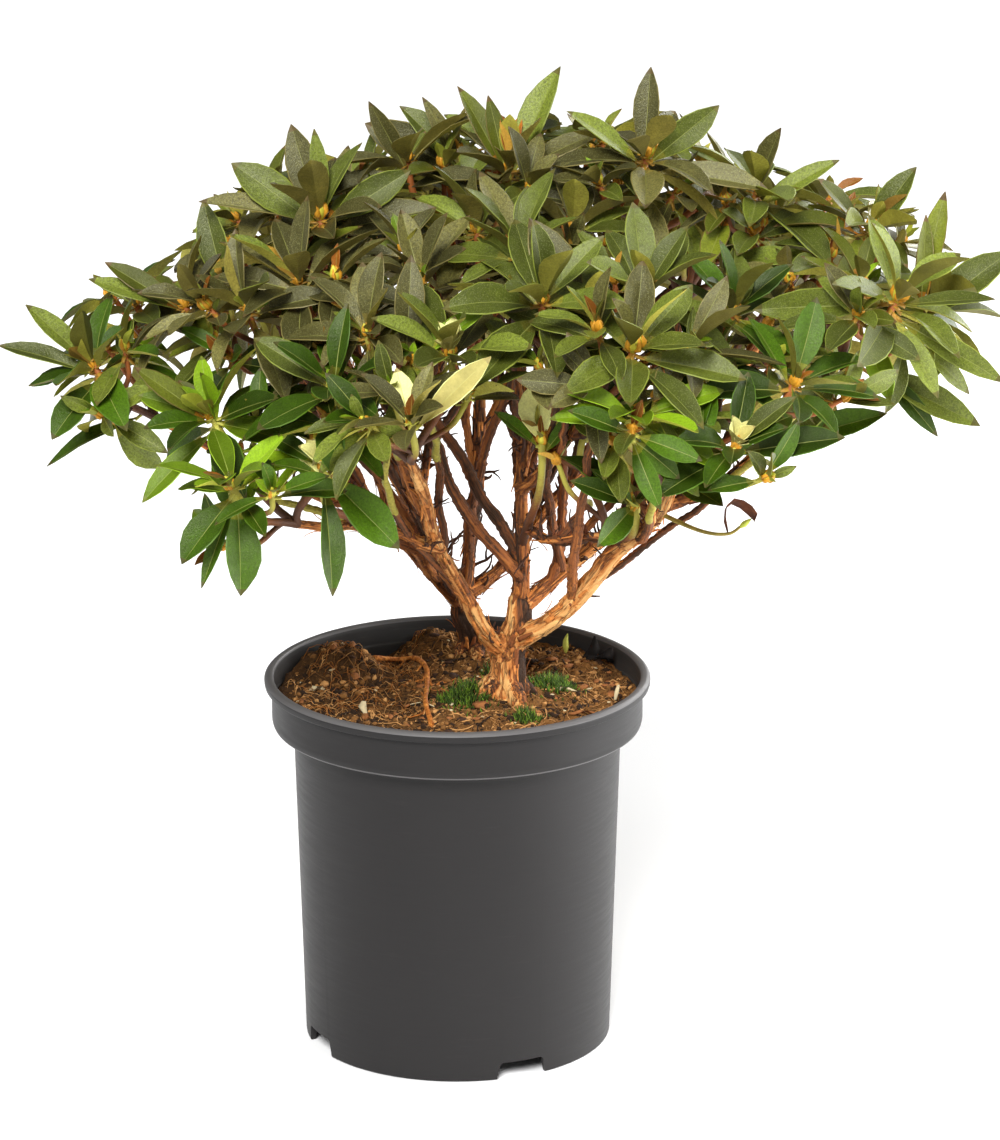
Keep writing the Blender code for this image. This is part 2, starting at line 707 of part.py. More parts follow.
def make_masses(limbs, trees, carriers, finish, rng):
    """Builds each mass of foliage in its own space, clear of the limbs and of every other mass."""
    placed = [Placed(trees[name], limb.route) for name, limb in limbs.items()]
    masses = {}
    for name, centre, shoots, spread, turn in MASSES:
        masses[name] = Mass(MOUTH + Vector(centre), shoots, spread, turn, carriers[name])
    stems = {}
    for name, mass in masses.items():
        route, stems[name] = mass.stem()
        placed.append(Placed(swollen_tree(stems[name], GAP), route, mass))
    twigs = {}
    for name, mass in masses.items():
        found = [place_twig(mass, shoot, placed, rng) for shoot in range(mass.shoots)]
        twigs[name] = [twig for twig in found if twig]
    for name, mass in masses.items():
        pieces = []
        for whorl, bm in twigs[name]:
            pieces.append(bm)
            pieces.extend(place_leaves(mass, whorl, placed))
        obj = finished(stems[name], name, finish)
        combine(obj, [finished(bm, "leaf") for bm in pieces], "UNION")
        keep_main_body(obj)
        obj.data.shade_flat()


def main():
    for obj in list(bpy.data.objects):
        bpy.data.objects.remove(obj)
    rng = random.Random(11)
    bark = material("bark", BARK_TAN, 0.85)
    stems = grow_stems(rng)
    limbs = dict(stems)
    carriers = grow_boughs(limbs, rng)
    make_pot(material("pot_plastic", POT_GREY, 0.45))
    make_soil(material("peat", SOIL_BROWN, 0.95), stems.values())
    trees = make_limbs(limbs, bark)
    make_masses(limbs, trees, carriers, material("leaf", LEAF_GREEN, 0.5), rng)


if __name__ == "__main__":
    main()
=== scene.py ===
import math
import random

import bmesh
import bpy
import numpy as np
from bpy.props import FloatProperty, FloatVectorProperty, IntProperty, PointerProperty
from mathutils import Matrix, Vector, noise
from mathutils.bvhtree import BVHTree
from mathutils.kdtree import KDTree


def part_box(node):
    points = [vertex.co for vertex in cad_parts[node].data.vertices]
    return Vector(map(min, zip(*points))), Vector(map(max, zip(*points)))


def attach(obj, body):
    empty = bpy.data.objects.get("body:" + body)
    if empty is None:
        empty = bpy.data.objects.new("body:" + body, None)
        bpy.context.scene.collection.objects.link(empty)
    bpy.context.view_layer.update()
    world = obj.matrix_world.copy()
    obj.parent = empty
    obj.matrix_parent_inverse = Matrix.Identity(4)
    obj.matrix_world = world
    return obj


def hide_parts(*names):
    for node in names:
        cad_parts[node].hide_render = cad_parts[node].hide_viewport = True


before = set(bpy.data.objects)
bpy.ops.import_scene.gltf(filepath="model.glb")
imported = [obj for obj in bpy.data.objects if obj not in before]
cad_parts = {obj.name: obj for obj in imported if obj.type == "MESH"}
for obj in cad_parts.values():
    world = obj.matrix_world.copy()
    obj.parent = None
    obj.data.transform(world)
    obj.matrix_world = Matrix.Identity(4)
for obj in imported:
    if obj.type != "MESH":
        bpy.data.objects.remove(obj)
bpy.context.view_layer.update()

bl_info = {
    "name": "Potted dwarf rhododendron",
    "version": (1, 0, 0),
    "blender": (4, 5, 0),
    "location": "View3D > Sidebar > Shrub",
    "description": "Dresses a potted dwarf rhododendron: pot, peat, peeling bark, twigs, buds and leaves",
    "category": "Object",
}

BODY = "root"
GAP = 0.0003
POT_LOW, POT_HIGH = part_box("pot")
POT_HEIGHT = POT_HIGH.z
LIP_RADIUS = POT_HIGH.x

# The camera stands where the photograph was taken from. The main light's softness is in degrees.
PHOTO_SIZE = Vector((1000, 1140))
CAMERA_TARGET = Vector((0.025, 0.0, 0.2836))
CAMERA_PITCH = 17.2
CAMERA_DISTANCE = 3.53
CAMERA_LENS = 191.7
CAMERA_SENSOR = 36.0
KEY_SOFTNESS = 24.0

# The pot's wall, band, lip and foot, as they were moulded.
LIP_HEIGHT = 0.0065
LIP_ROUND = 0.001
LIP_CURL = 0.0035
BAND_RADIUS = LIP_RADIUS - 0.0045
BAND_HEIGHT = 0.023
LIP_FOOT = POT_HEIGHT - LIP_HEIGHT
BAND_FOOT = POT_HEIGHT - LIP_HEIGHT - BAND_HEIGHT
BAND_ROUND = 0.003
BODY_TOP_RADIUS = 0.0958
BODY_FOOT_RADIUS = 0.0900
SHOULDER = 0.004
WALL = 0.002
INNER_LEDGE = 0.0135
FLOOR_RISE = 0.0105
FOOT_RING = 0.0034
FOOT_ROUND = 0.0006
CENTRE_FOOT_RADIUS = 0.018
NOTCH_WIDTH = 0.027
NOTCH_SLANT = 0.005
NOTCH_DEPTH = 0.020
NOTCH_TURN = -65.0
DRAIN_RADIUS = 0.006
DRAIN_REACH = 0.055

SOIL_LEVEL = POT_HEIGHT - 0.0145
SOIL_RADIUS = BAND_RADIUS - WALL - 0.0006
# Each mound or hollow in the peat: where it is, how high it stands and how wide it spreads.
SOIL_MOUNDS = (
    ((-0.070, 0.050), 0.017, 0.022), ((-0.016, 0.082), 0.012, 0.016), ((-0.050, 0.078), -0.012, 0.022),
    ((0.010, 0.068), 0.008, 0.028), ((0.064, 0.056), 0.006, 0.030), ((0.030, -0.005), 0.006, 0.035),
    ((-0.045, -0.055), -0.005, 0.040),
)
# Each tuft of moss: its middle and how far it spreads.
MOSS_TUFTS = (
    ((0.005, -0.012), 0.017), ((0.055, 0.004), 0.014), ((0.041, -0.046), 0.008), ((0.022, 0.030), 0.008),
)
# The bare surface root, from behind the left mound to the front, as places and heights above the peat.
SURFACE_ROOT = (
    (-0.050, 0.050, 0.002), (-0.036, 0.058, 0.005), (-0.024, 0.052, 0.006), (-0.019, 0.030, 0.006),
    (-0.017, 0.004, 0.005), (-0.018, -0.024, 0.004), (-0.015, -0.046, 0.001), (-0.014, -0.058, -0.003),
)

GROUND = POT_HEIGHT - 0.016
TRUNK_SIDES = 10
BOUGH_SIDES = 8
STEM_SIDES = 6
TWIG_SIDES = 3
CROOK = 0.0022
STEM_SHARES = (0.0, 0.1, 0.22, 0.5, 0.8, 1.0)
FLARE_EASE = 0.82
FORK_TAPER = 0.86
# The plant's places are measured from the middle of the pot's mouth.
MOUTH = Vector((0.0, 0.0, POT_HEIGHT))
# Each stem out of the peat: its foot on the ground, its fork, and its radius at the flare, above it and
# at the fork.
STEMS = (
    ("trunk", (0.028, -0.012), (0.036, -0.006, 0.048), (0.0150, 0.0108, 0.0088)),
    ("back_stem", (0.010, 0.064), (0.004, 0.056, 0.030), (0.0125, 0.0088, 0.0080)),
)
# The tints of leaf, and how often each is dealt in most parts of the crown.
TINTS = ("bronze", "olive", "green", "lime", "flush", "pale", "orange")
USUAL_TINTS = (0.38, 0.50, 0.02, 0.02, 0.08)
# Each mass of foliage, its node's name without the ending: the middle of its whorls, how many, how far they
# spread, how they are turned, and how often each of the first five tints is dealt there.
MASSES = (
    ("far_left", (-0.201, 0.008, 0.204), 2, 0.033, 20.0, (0.02, 0.35, 0.33, 0.12, 0.18)),
    ("left_low", (-0.108, -0.120, 0.174), 3, 0.038, 130.0, (0.00, 0.08, 0.72, 0.14, 0.06)),
    ("left_upper", (-0.126, -0.028, 0.240), 3, 0.037, 195.0, (0.40, 0.30, 0.05, 0.00, 0.25)),
    ("top_left", (-0.079, 0.038, 0.270), 3, 0.036, 40.0, (0.50, 0.40, 0.00, 0.00, 0.10)),
    ("centre_left", (-0.054, -0.073, 0.245), 3, 0.040, 350.0, (0.60, 0.30, 0.00, 0.00, 0.10)),
    ("front_left", (-0.034, -0.145, 0.218), 3, 0.034, 355.0, (0.25, 0.45, 0.25, 0.05, 0.00)),
    ("top_centre", (0.006, 0.050, 0.292), 3, 0.037, 90.0, (0.55, 0.40, 0.00, 0.00, 0.05)),
    ("centre", (0.035, -0.030, 0.268), 3, 0.034, 170.0, (0.65, 0.35, 0.00, 0.00, 0.00)),
    ("front_centre", (0.080, -0.110, 0.242), 3, 0.034, 275.0, (0.45, 0.55, 0.00, 0.00, 0.00)),
    ("top_right", (0.114, 0.035, 0.300), 3, 0.037, 20.0, (0.50, 0.45, 0.00, 0.00, 0.05)),
    ("right_upper", (0.208, 0.034, 0.268), 3, 0.040, 315.0, (0.28, 0.44, 0.00, 0.00, 0.28)),
    ("far_right", (0.246, -0.026, 0.238), 3, 0.038, 110.0, (0.15, 0.45, 0.15, 0.00, 0.25)),
    ("right_mid", (0.163, -0.104, 0.228), 3, 0.034, 20.0, (0.30, 0.48, 0.22, 0.00, 0.00)),
    ("front_right", (0.132, -0.148, 0.200), 3, 0.033, 10.0, (0.00, 0.40, 0.57, 0.03, 0.00)),
    ("inner_low", (0.096, -0.090, 0.160), 2, 0.028, 65.0, (0.00, 0.00, 1.00, 0.00, 0.00)),
    ("top_back", (0.062, 0.118, 0.278), 3, 0.042, 60.0, USUAL_TINTS),
    ("back_left", (-0.094, 0.118, 0.240), 4, 0.046, 100.0, USUAL_TINTS),
    ("back_mid", (-0.016, 0.168, 0.244), 3, 0.044, 80.0, USUAL_TINTS),
    ("back_right", (0.146, 0.128, 0.248), 4, 0.048, 40.0, USUAL_TINTS),
    ("back_low_left", (-0.104, 0.188, 0.192), 3, 0.042, 110.0, USUAL_TINTS),
    ("back_low", (0.040, 0.214, 0.196), 3, 0.042, 90.0, USUAL_TINTS),
    ("back_low_right", (0.180, 0.178, 0.194), 3, 0.042, 60.0, USUAL_TINTS),
)
# Each bough: the limb it leaves and how far along it, the mass that it carries, its radius where it leaves,
# and how far its middle is bowed to the right, away and up.
BOUGHS = (
    ("left_bough", "trunk", 0.56, "front_left", 0.0070, (-0.010, 0.018, -0.004)),
    ("centre_bough", "trunk", 0.97, "centre", 0.0064, (0.003, 0, 0)),
    ("right_low_bough", "trunk", 0.66, "right_mid", 0.0076, (0.006, 0.004, -0.010)),
    ("right_high_bough", "trunk", 0.90, "right_upper", 0.0064, (0.006, 0.010, -0.014)),
    ("left_back_bough", "back_stem", 0.90, "left_upper", 0.0066, (0.004, 0.010, -0.016)),
    ("back_centre_bough", "back_stem", 0.97, "top_centre", 0.0062, (0.004, 0, 0)),
    ("back_left_bough", "back_stem", 0.93, "back_left", 0.0062, (0.006, 0.004, -0.018)),
    ("back_right_bough", "back_stem", 0.98, "back_right", 0.0062, (0, 0.010, -0.020)),
    ("left_low_bough", "left_bough", 0.58, "left_low", 0.0048, (0, 0, 0.004)),
    ("centre_left_bough", "left_bough", 0.66, "centre_left", 0.0046, (-0.004, 0, 0)),
    ("front_centre_bough", "centre_bough", 0.45, "front_centre", 0.0050, (0, 0, -0.004)),
    ("inner_low_bough", "centre_bough", 0.30, "inner_low", 0.0042, (0, -0.004, -0.004)),
    ("front_right_bough", "right_low_bough", 0.55, "front_right", 0.0048, (0, 0, -0.006)),
    ("far_right_bough", "right_low_bough", 0.72, "far_right", 0.0050, (0, 0, -0.012)),
    ("top_right_bough", "right_high_bough", 0.42, "top_right", 0.0048, (0, 0, 0)),
    ("far_left_bough", "left_back_bough", 0.58, "far_left", 0.0046, (0, 0, -0.010)),
    ("top_left_bough", "left_back_bough", 0.45, "top_left", 0.0046, (0, 0, 0)),
    ("top_back_bough", "back_centre_bough", 0.50, "top_back", 0.0046, (0, 0.004, 0)),
    ("back_low_left_bough", "back_left_bough", 0.45, "back_low_left", 0.0044, (0, 0, 0)),
    ("back_mid_bough", "back_left_bough", 0.40, "back_mid", 0.0044, (0, 0.004, 0)),
    ("back_low_bough", "back_right_bough", 0.35, "back_low", 0.0044, (0, 0, 0)),
    ("back_low_right_bough", "back_right_bough", 0.50, "back_low_right", 0.0044, (0, 0, 0)),
)
BOUGH_STATIONS = 7
THICK_BOUGH = 0.0055
BOUGH_TIP_RADIUS = 0.0018
BOUGH_TIP_SHARE = 0.38
STEM_LENGTH = 0.012
MASS_DEPTH = 0.066
CROWN_FOCUS = MOUTH + Vector((0.028, 0.010, 0.088))
HUB_TAPER = (0.9, 0.5)
TWIG_STATIONS = 3
TWIG_EASE = 0.38
SHOOT_TURN = 12.0
SHOOT_REACH = 0.12
SHOOT_LIFT = 0.008
SHOOT_SIZE = 0.08
SHOOT_RADIUS = 0.0030
SHOOT_TIP_RADIUS = 0.0024
BUD_LENGTH = 0.008
BUD_RADIUS = 0.0030
WHORL_LENGTH = 0.013
LEAF_LENGTH = 0.061
INNER_LEAF = 0.80
PITCH_POWER = 1.25
GOLDEN_TURN = 137.5
LOWEST_PITCH = -14.0
HIGHEST_PITCH = 66.0
DROOP_BELOW = POT_HEIGHT + 0.225
DROOP_DEPTH = 0.050
DROOP = 22.0
LEAF_CLEARANCE = 0.0005
TWIG_TRIES = (0, 20, -20, 40, -40, 60, -60)
GROWTH_SEED = 11

# Finer growth, which the solids leave out. Side twigs leave a twig at each of the side shares of it.
FINE_STEP = 0.002
ROUND_SIDES = 14
TWIG_POINTS = 12
TWIG_ROUND = 7
SIDE_SHARES = (0.20, 0.46, 0.74)
SIDE_LENGTH = 0.026
SIDE_TILT = 52.0
SIDE_SPACING = 0.020
SIDE_SIZE = 0.80
SIDE_RISE = Vector((0.0, 0.0, 0.35))
PETIOLE_SHARE = 0.07
ROOT_CLUSTER = 0.6
# What is tried in turn for a leaf that would touch another: a lift, a turn and a share of its length.
LEAF_TRIES = (
    (0, 0, 1.0), (9, 12, 1.0), (-9, -12, 0.97), (20, -14, 0.93), (-18, 18, 0.88), (34, 6, 0.8), (-34, 0, 0.9),
    (0, 35, 0.85), (10, -35, 0.75), (-24, 10, 0.68),
)
# A thinner stem leaves a bough at each of these shares of it, and joins a twig of its mass at this point.
SLENDER_SHARES = (0.34, 0.52, 0.70)
NO_SLENDER_STEMS = ("left_low", "far_left", "far_right")
SLENDER_JOIN = 5
SLENDER_STATIONS = 10
SLENDER_CROOK = 0.0014
TEST_SIDES = 5
SLENDER_RADII = (0.0028, 0.0018)
# How thick each kind of twig is at its foot and at its tip.
TWIG_RADII = (0.0025, 0.0020)
SIDE_RADII = (0.0017, 0.0015)
FRONT_RADII = (0.0026, 0.0022)
# Stems that cross the crown's heart: the limb each leaves, how far along, the mass it joins and its radius.
CROSSING_STEMS = (
    ("centre_bough", 0.10, "centre_left", 0.0044),
    ("centre_bough", 0.16, "top_left", 0.0038), ("trunk", 0.96, "top_centre", 0.0040),
    ("back_stem", 0.96, "centre", 0.0036), ("back_stem", 0.93, "centre_left", 0.0038),
    ("right_high_bough", 0.12, "centre", 0.0034),
    ("right_high_bough", 0.16, "front_centre", 0.0034),
    ("right_low_bough", 0.26, "front_centre", 0.0032),
    ("left_bough", 0.24, "top_left", 0.0034), ("left_back_bough", 0.20, "left_low", 0.0044),
)

# How fresh the bark of each limb is, from old and grey at 0 to newly peeled at 1, and how much of the limb's
# solid its wood takes, under the bark that peels off it.
BARK = {
    "trunk": (0.54, 1.0),
    "back_stem": (0.30, 0.95),
    "left_bough": (0.74, 0.78),
    "centre_bough": (0.42, 0.80),
    "right_low_bough": (0.82, 0.94),
    "right_high_bough": (0.66, 0.84),
    "left_back_bough": (0.50, 0.78),
    "back_centre_bough": (0.34, 0.78),
    "front_right_bough": (0.70, 0.78),
    "left_low_bough": (0.60, 0.78),
}
USUAL_BARK = (0.48, 0.78)
# How many plates of bark lie in a metre, and the radius from which wood has their full relief.
PLATES_ACROSS = 330.0
PLATES_ALONG = 30.0
THICK_WOOD = 0.006
# The masses whose twigs are yellow-green; the others are red-brown.
GREEN_TWIGS = ("front_left", "inner_low", "front_right", "left_low")
# Whorls that stand out in the photograph, by their pixel there: what grows in their middle.
ACCENTS = (
    ((487, 168), "orange"), ((654, 168), "bud"), ((313, 210), "bud"), ((514, 262), "bud"),
    ((590, 324), "bud"), ((410, 375), "pale"), ((326, 470), "pale"), ((205, 425), "lime"),
    ((700, 420), "pale"), ((585, 430), "pale"), ((99, 350), "flush"), ((865, 235), "flush"),
    ((868, 305), "bud"), ((925, 300), "flush"),
)
# Leaves that make the outline in the photograph: the pixel of the root, of the tip, the tint and the width.
OUTLINE_LEAVES = (
    (497, 160, 558, 66, "olive", 1.0), (655, 162, 650, 68, "bronze", 1.1),
    (460, 152, 366, 122, "bronze", 1.15), (500, 158, 598, 130, "bronze", 1.1),
    (470, 160, 425, 99, "bronze", 0.7), (302, 195, 291, 125, "bronze", 1.15),
    (308, 205, 232, 162, "olive", 1.1), (303, 212, 200, 197, "bronze", 1.0),
    (330, 205, 410, 170, "olive", 1.1), (330, 215, 436, 208, "bronze", 1.1),
    (640, 165, 570, 110, "olive", 1.0), (668, 160, 717, 108, "olive", 1.0),
    (665, 180, 768, 184, "bronze", 1.0), (650, 190, 660, 265, "bronze", 1.3),
    (785, 210, 775, 133, "bronze", 1.0), (790, 212, 836, 160, "olive", 0.8),
    (861, 245, 820, 180, "flush", 1.05), (868, 240, 912, 169, "olive", 1.0),
    (935, 275, 946, 177, "flush", 0.75), (945, 270, 1008, 250, "olive", 1.1),
    (868, 303, 750, 308, "olive", 0.8), (875, 303, 992, 298, "olive", 0.8),
    (885, 322, 1004, 382, "olive", 0.75), (862, 378, 988, 427, "olive", 0.95),
    (880, 392, 938, 436, "green", 0.8), (888, 330, 938, 396, "olive", 1.0),
    (855, 361, 773, 444, "olive", 1.2), (868, 325, 888, 400, "lime", 1.0),
    (775, 445, 886, 413, "green", 1.0), (720, 455, 845, 436, "green", 1.15),
    (99, 348, 0, 341, "olive", 0.8), (97, 345, 28, 305, "olive", 1.0), (95, 360, 54, 437, "green", 1.3),
    (146, 419, 44, 461, "green", 0.8), (190, 285, 106, 262, "flush", 1.0),
    (185, 305, 90, 277, "olive", 0.8), (200, 275, 203, 200, "olive", 1.0),
    (195, 435, 140, 500, "lime", 0.85), (205, 425, 205, 375, "lime", 1.0),
    (215, 430, 290, 440, "lime", 1.1), (225, 478, 183, 563, "green", 1.3),
    (232, 480, 201, 588, "green", 0.6), (238, 480, 243, 596, "green", 1.5),
    (240, 478, 268, 535, "green", 1.0), (330, 475, 335, 596, "green", 1.0),
    (322, 472, 276, 462, "green", 0.9), (195, 425, 137, 368, "flush", 0.9),
    (332, 472, 400, 548, "green", 1.25), (640, 480, 598, 546, "green", 1.3),
    (640, 480, 562, 452, "green", 1.1), (665, 475, 718, 503, "green", 1.2),
    (634, 495, 602, 426, "pale", 1.2), (541, 440, 537, 380, "pale", 2.0),
    (535, 436, 496, 412, "green", 0.8), (545, 440, 578, 412, "green", 1.0),
    (640, 485, 668, 434, "green", 1.5), (636, 495, 572, 480, "green", 1.0),
    (480, 172, 459, 86, "flush", 0.95), (492, 172, 489, 97, "flush", 0.7),
    (930, 285, 925, 217, "flush", 0.6), (700, 420, 750, 407, "pale", 1.1),
    (328, 468, 298, 452, "pale", 1.6), (328, 468, 324, 434, "pale", 1.6),
    (410, 400, 396, 368, "pale", 1.4), (425, 405, 490, 356, "pale", 0.9),
    (420, 372, 440, 360, "pale", 1.4), (470, 155, 402, 104, "olive", 1.0),
    (430, 150, 371, 106, "bronze", 0.9), (345, 200, 316, 131, "olive", 0.8),
    (420, 372, 487, 305, "lime", 0.8), (415, 368, 412, 255, "bronze", 1.0),
    (590, 320, 530, 218, "bronze", 1.2), (590, 322, 500, 308, "olive", 0.9),
)
# The crown's upper and lower edge without those leaves, at each of these columns of the photograph.
CROWN_EDGES = (
    (0, 335, 350), (40, 320, 400), (80, 312, 425), (120, 285, 435), (160, 268, 480), (200, 215, 520),
    (240, 178, 520), (280, 145, 480), (320, 150, 490), (360, 140, 500), (380, 118, 480), (400, 118, 440),
    (440, 112, 400), (480, 100, 385), (520, 104, 385), (560, 118, 420), (580, 114, 450), (620, 128, 500),
    (660, 108, 505), (700, 118, 495), (740, 150, 462), (780, 158, 455), (820, 176, 442), (860, 205, 420),
    (900, 196, 405), (940, 215, 415), (980, 248, 410), (1000, 255, 385),
)
EDGE_SLACK = 5.0
AIMED_WIDTH = 0.88
# A leaf whose root shows further than this many pixels from any whorl is rooted on the nearest wood.
STRAY_ROOT = 34.0
# What a metre towards the back counts as, in pixels, when the nearest whorl or wood is looked for.
FAR_SIDE = 400.0
FRONT_SIZE = 0.85
# Shoots that show in front of the boughs: the limb each leaves and how far along it, the pixel of its whorl,
# how far it stands forward of the limb, and its leaves.
FRONT_SHOOTS = (
    ("centre_bough", 0.22, (541, 446), 0.085, 4),
    ("right_low_bough", 0.52, (634, 500), 0.062, 5),
    ("left_low_bough", 0.62, (326, 470), 0.072, 5),
)
# The thin twig low on the right, by the pixels that it passes.
LOW_TWIG = ((668, 520), (700, 531), (727, 534), (741, 526))
# The withered leaf that hangs on it: the pixels that it passes and its half width in metres at each.
WITHERED = (
    (727, 533, 0.0010), (724, 520, 0.0022), (725, 508, 0.0026), (732, 502, 0.0030), (741, 505, 0.0040),
    (749, 511, 0.0046), (755, 518, 0.0036), (753, 524, 0.0012),
)


def linear(red, green, blue):
    """A colour given as a screen shows it, from 0 to 255, in linear values."""
    shares = [value / 255 for value in (red, green, blue)]
    return tuple(s / 12.92 if s <= 0.04045 else ((s + 0.055) / 1.055) ** 2.4 for s in shares)


def colour(name, description, red, green, blue):
    return FloatVectorProperty(
        name=name, description=description, subtype="COLOR", size=3, min=0.0, max=1.0,
        default=linear(red, green, blue),
    )


def size(name, description, default):
    return FloatProperty(
        name=name, description=description, subtype="DISTANCE", unit="LENGTH", min=0.0, precision=4,
        default=default,
    )


def amount(name, description, default):
    return FloatProperty(name=name, description=description, min=0.0, default=default)


def count(name, description, default):
    return IntProperty(name=name, description=description, min=0, default=default)


class PotSettings(bpy.types.PropertyGroup):
    plastic: colour("Plastic", "The grey of the pot outside", 29, 27, 27)
    # Painted light: the inner wall takes a lighter copy of the pot's plastic, which lifts the shade that
    # falls inside the pot.
    inside: colour("Inside", "The darker grey of the pot's inner wall", 56, 55, 54)
    # Painted highlight: this paler grey is painted on the lip's top and the band's foot for the light that
    # they catch.
    wear_and_painted_highlight: colour("Highlit edges", "The paler grey of the lip's top and the band's foot", 92, 90, 90)
    steps: count("Steps", "Steps of the turned pot round its axis", 144)
    grain: size("Grain", "Depth of the plastic's fine grain", 0.00006)


class PeatSettings(bpy.types.PropertyGroup):
    dark: colour("Dark peat", "The darkest crumbs", 44, 28, 14)
    brown: colour("Brown peat", "The usual peat", 124, 84, 42)
    tan: colour("Fibre", "Dry fibres and light crumbs", 188, 138, 82)
    crumb: size("Crumb", "How far the crumbs stand out of the surface", 0.0021)
    crumbs: count("Crumbs", "Loose crumbs on the surface", 2400)
    fibres: count("Fibres", "Loose fibres on the surface", 1500)
    chips: count("Chips", "Chips of bark and pale grit", 150)
    moss: count("Moss", "Blades of moss in all tufts", 1400)


class BarkSettings(bpy.types.PropertyGroup):
    old: colour("Old bark", "Weathered bark in the cracks and on old wood", 84, 58, 40)
    red: colour("Red bark", "Half-peeled bark", 142, 82, 42)
    tan: colour("Tan bark", "Freshly peeled bark", 196, 122, 58)
    pale: colour("Pale bark", "The lightest strips", 230, 176, 108)
    voxel: size("Skin", "Size of the faces of the wood's skin", 0.00096)
    plate: size("Plate", "How far the bark's plates stand out", 0.0011)
    crack: size("Crack", "Depth of the cracks between plates", 0.0008)
    flakes: count("Flakes", "Curled flakes of bark that lift off", 950)
    dead: count("Dead twigs", "Thin dead twigs on the boughs", 190)
    stubs: count("Stubs", "Short broken stubs on the boughs", 420)


class LeafSettings(bpy.types.PropertyGroup):
    bronze: colour("Bronze", "Old leaves high in the crown", 87, 83, 42)
    olive: colour("Olive", "Most leaves", 88, 98, 31)
    green: colour("Green", "Glossy leaves low in the crown", 50, 74, 8)
    lime: colour("Lime", "Bright leaves of this year", 102, 129, 20)
    flush: colour("Flush", "Young green leaves with a red margin", 90, 97, 25)
    pale: colour("Pale", "Cream new leaves", 200, 188, 112)
    orange: colour("Orange", "Young leaves flushed orange", 152, 90, 28)
    under: colour("Underside", "The scaly underside", 150, 136, 54)
    rib: colour("Rib", "Midrib", 164, 168, 88)
    margin: colour("Margin", "Rolled edge", 96, 66, 44)
    leaves: count("Leaves", "Leaves in a whorl at the end of a twig", 12)
    side_leaves: count("Side leaves", "Leaves in a side whorl", 9)
    width: amount("Width", "Width of a leaf as a share of its length", 0.34)


class StageSettings(bpy.types.PropertyGroup):
    floor: colour("Floor", "The plain pale floor", 253, 253, 253)
    reach: size("Reach", "Half the width of the floor", 8.0)
    sky: amount("Sky", "Strength of the even light from all round", 0.24)
    key: amount("Key", "Strength of the broad main light", 4.5)
    edge: amount("Edge", "Power of the lights beside and behind in watts", 26.0)


class Finish:
    """A Principled material, with short ways to add nodes to it."""

    def __init__(self, name, roughness, **sockets):
        self.material = bpy.data.materials.new(name)
        self.material.use_nodes = True
        self.tree = self.material.node_tree
        self.shader = self.tree.nodes["Principled BSDF"]
        self.shader.inputs["Roughness"].default_value = roughness
        for socket, value in sockets.items():
            self.shader.inputs[socket.replace("_", " ")].default_value = value

    def node(self, kind, inputs=(), **settings):
        made = self.tree.nodes.new("ShaderNode" + kind)
        for key, value in settings.items():
            setattr(made, key, value)
        for key, value in dict(inputs).items():
            socket = made.inputs[key]
            if isinstance(value, bpy.types.NodeSocket):
                self.tree.links.new(value, socket)
            else:
                socket.default_value = (*value, 1.0) if socket.type == "RGBA" else value
        return made

    def attribute(self, name):
        return self.node("Attribute", attribute_name=name)

    def place(self, name=None, scale=(1.0, 1.0, 1.0)):
        """Where a point is: in the object, or by an attribute of the mesh, stretched by a scale."""
        found = self.attribute(name).outputs["Vector"] if name else self.node("TexCoord").outputs["Object"]
        return self.node("Mapping", {"Vector": found, "Scale": scale}).outputs["Vector"]

    def noise(self, place, scale, detail=3.0, roughness=0.6, sway=0.0):
        inputs = {
            "Vector": place, "Scale": scale, "Detail": detail, "Roughness": roughness, "Distortion": sway,
        }
        return self.node("TexNoise", inputs).outputs["Fac"]

    def cells(self, place, scale):
        return self.node("TexVoronoi", {"Vector": place, "Scale": scale}).outputs["Distance"]

    def ramp(self, factor, stops):
        """The colour or value at a factor, from stops of place and colour."""
        made = self.node("ValToRGB", {"Fac": factor})
        elements = made.color_ramp.elements
        while len(elements) < len(stops):
            elements.new(0.5)
        for element, (place, shade) in zip(elements, stops):
            element.position = place
            element.color = (*shade, 1.0) if hasattr(shade, "__len__") else (shade, shade, shade, 1.0)
        return made.outputs["Color"]

    def math(self, operation, first, second):
        return self.node("Math", {0: first, 1: second}, operation=operation).outputs["Value"]

    def times(self, first, second):
        return self.math("MULTIPLY", first, second)

    def swing(self, factor, reach):
        """How far a factor is from its middle, times a reach."""
        return self.times(self.math("SUBTRACT", factor, 0.5), reach)

    def mix(self, factor, first, second):
        return self.node("Mix", {0: factor, 6: first, 7: second}, data_type="RGBA").outputs[2]

    def paint(self, shade):
        self.tree.links.new(shade, self.shader.inputs["Base Color"])

    def gloss(self, factor, low, high):
        made = self.node("MapRange", {"Value": factor, "To Min": low, "To Max": high})
        self.tree.links.new(made.outputs["Result"], self.shader.inputs["Roughness"])

    def bump(self, height, distance, strength=1.0):
        made = self.node("Bump", {"Height": height, "Distance": distance, "Strength": strength})
        self.tree.links.new(made.outputs["Normal"], self.shader.inputs["Normal"])


def shade(base, share):
    """The same colour, lighter or darker."""
    return tuple(min(1.0, value * share) for value in base)


def link(name, mesh, materials=()):
    """An object for a finished mesh."""
    for material in materials:
        mesh.materials.append(material)
    obj = bpy.data.objects.new(name, mesh)
    bpy.context.scene.collection.objects.link(obj)
    return obj


def finished(bm, name, materials=()):
    """An object that holds this bmesh, its faces turned outwards."""
    bmesh.ops.recalc_face_normals(bm, faces=bm.faces)
    mesh = bpy.data.meshes.new(name)
    bm.to_mesh(mesh)
    bm.free()
    return link(name, mesh, materials)


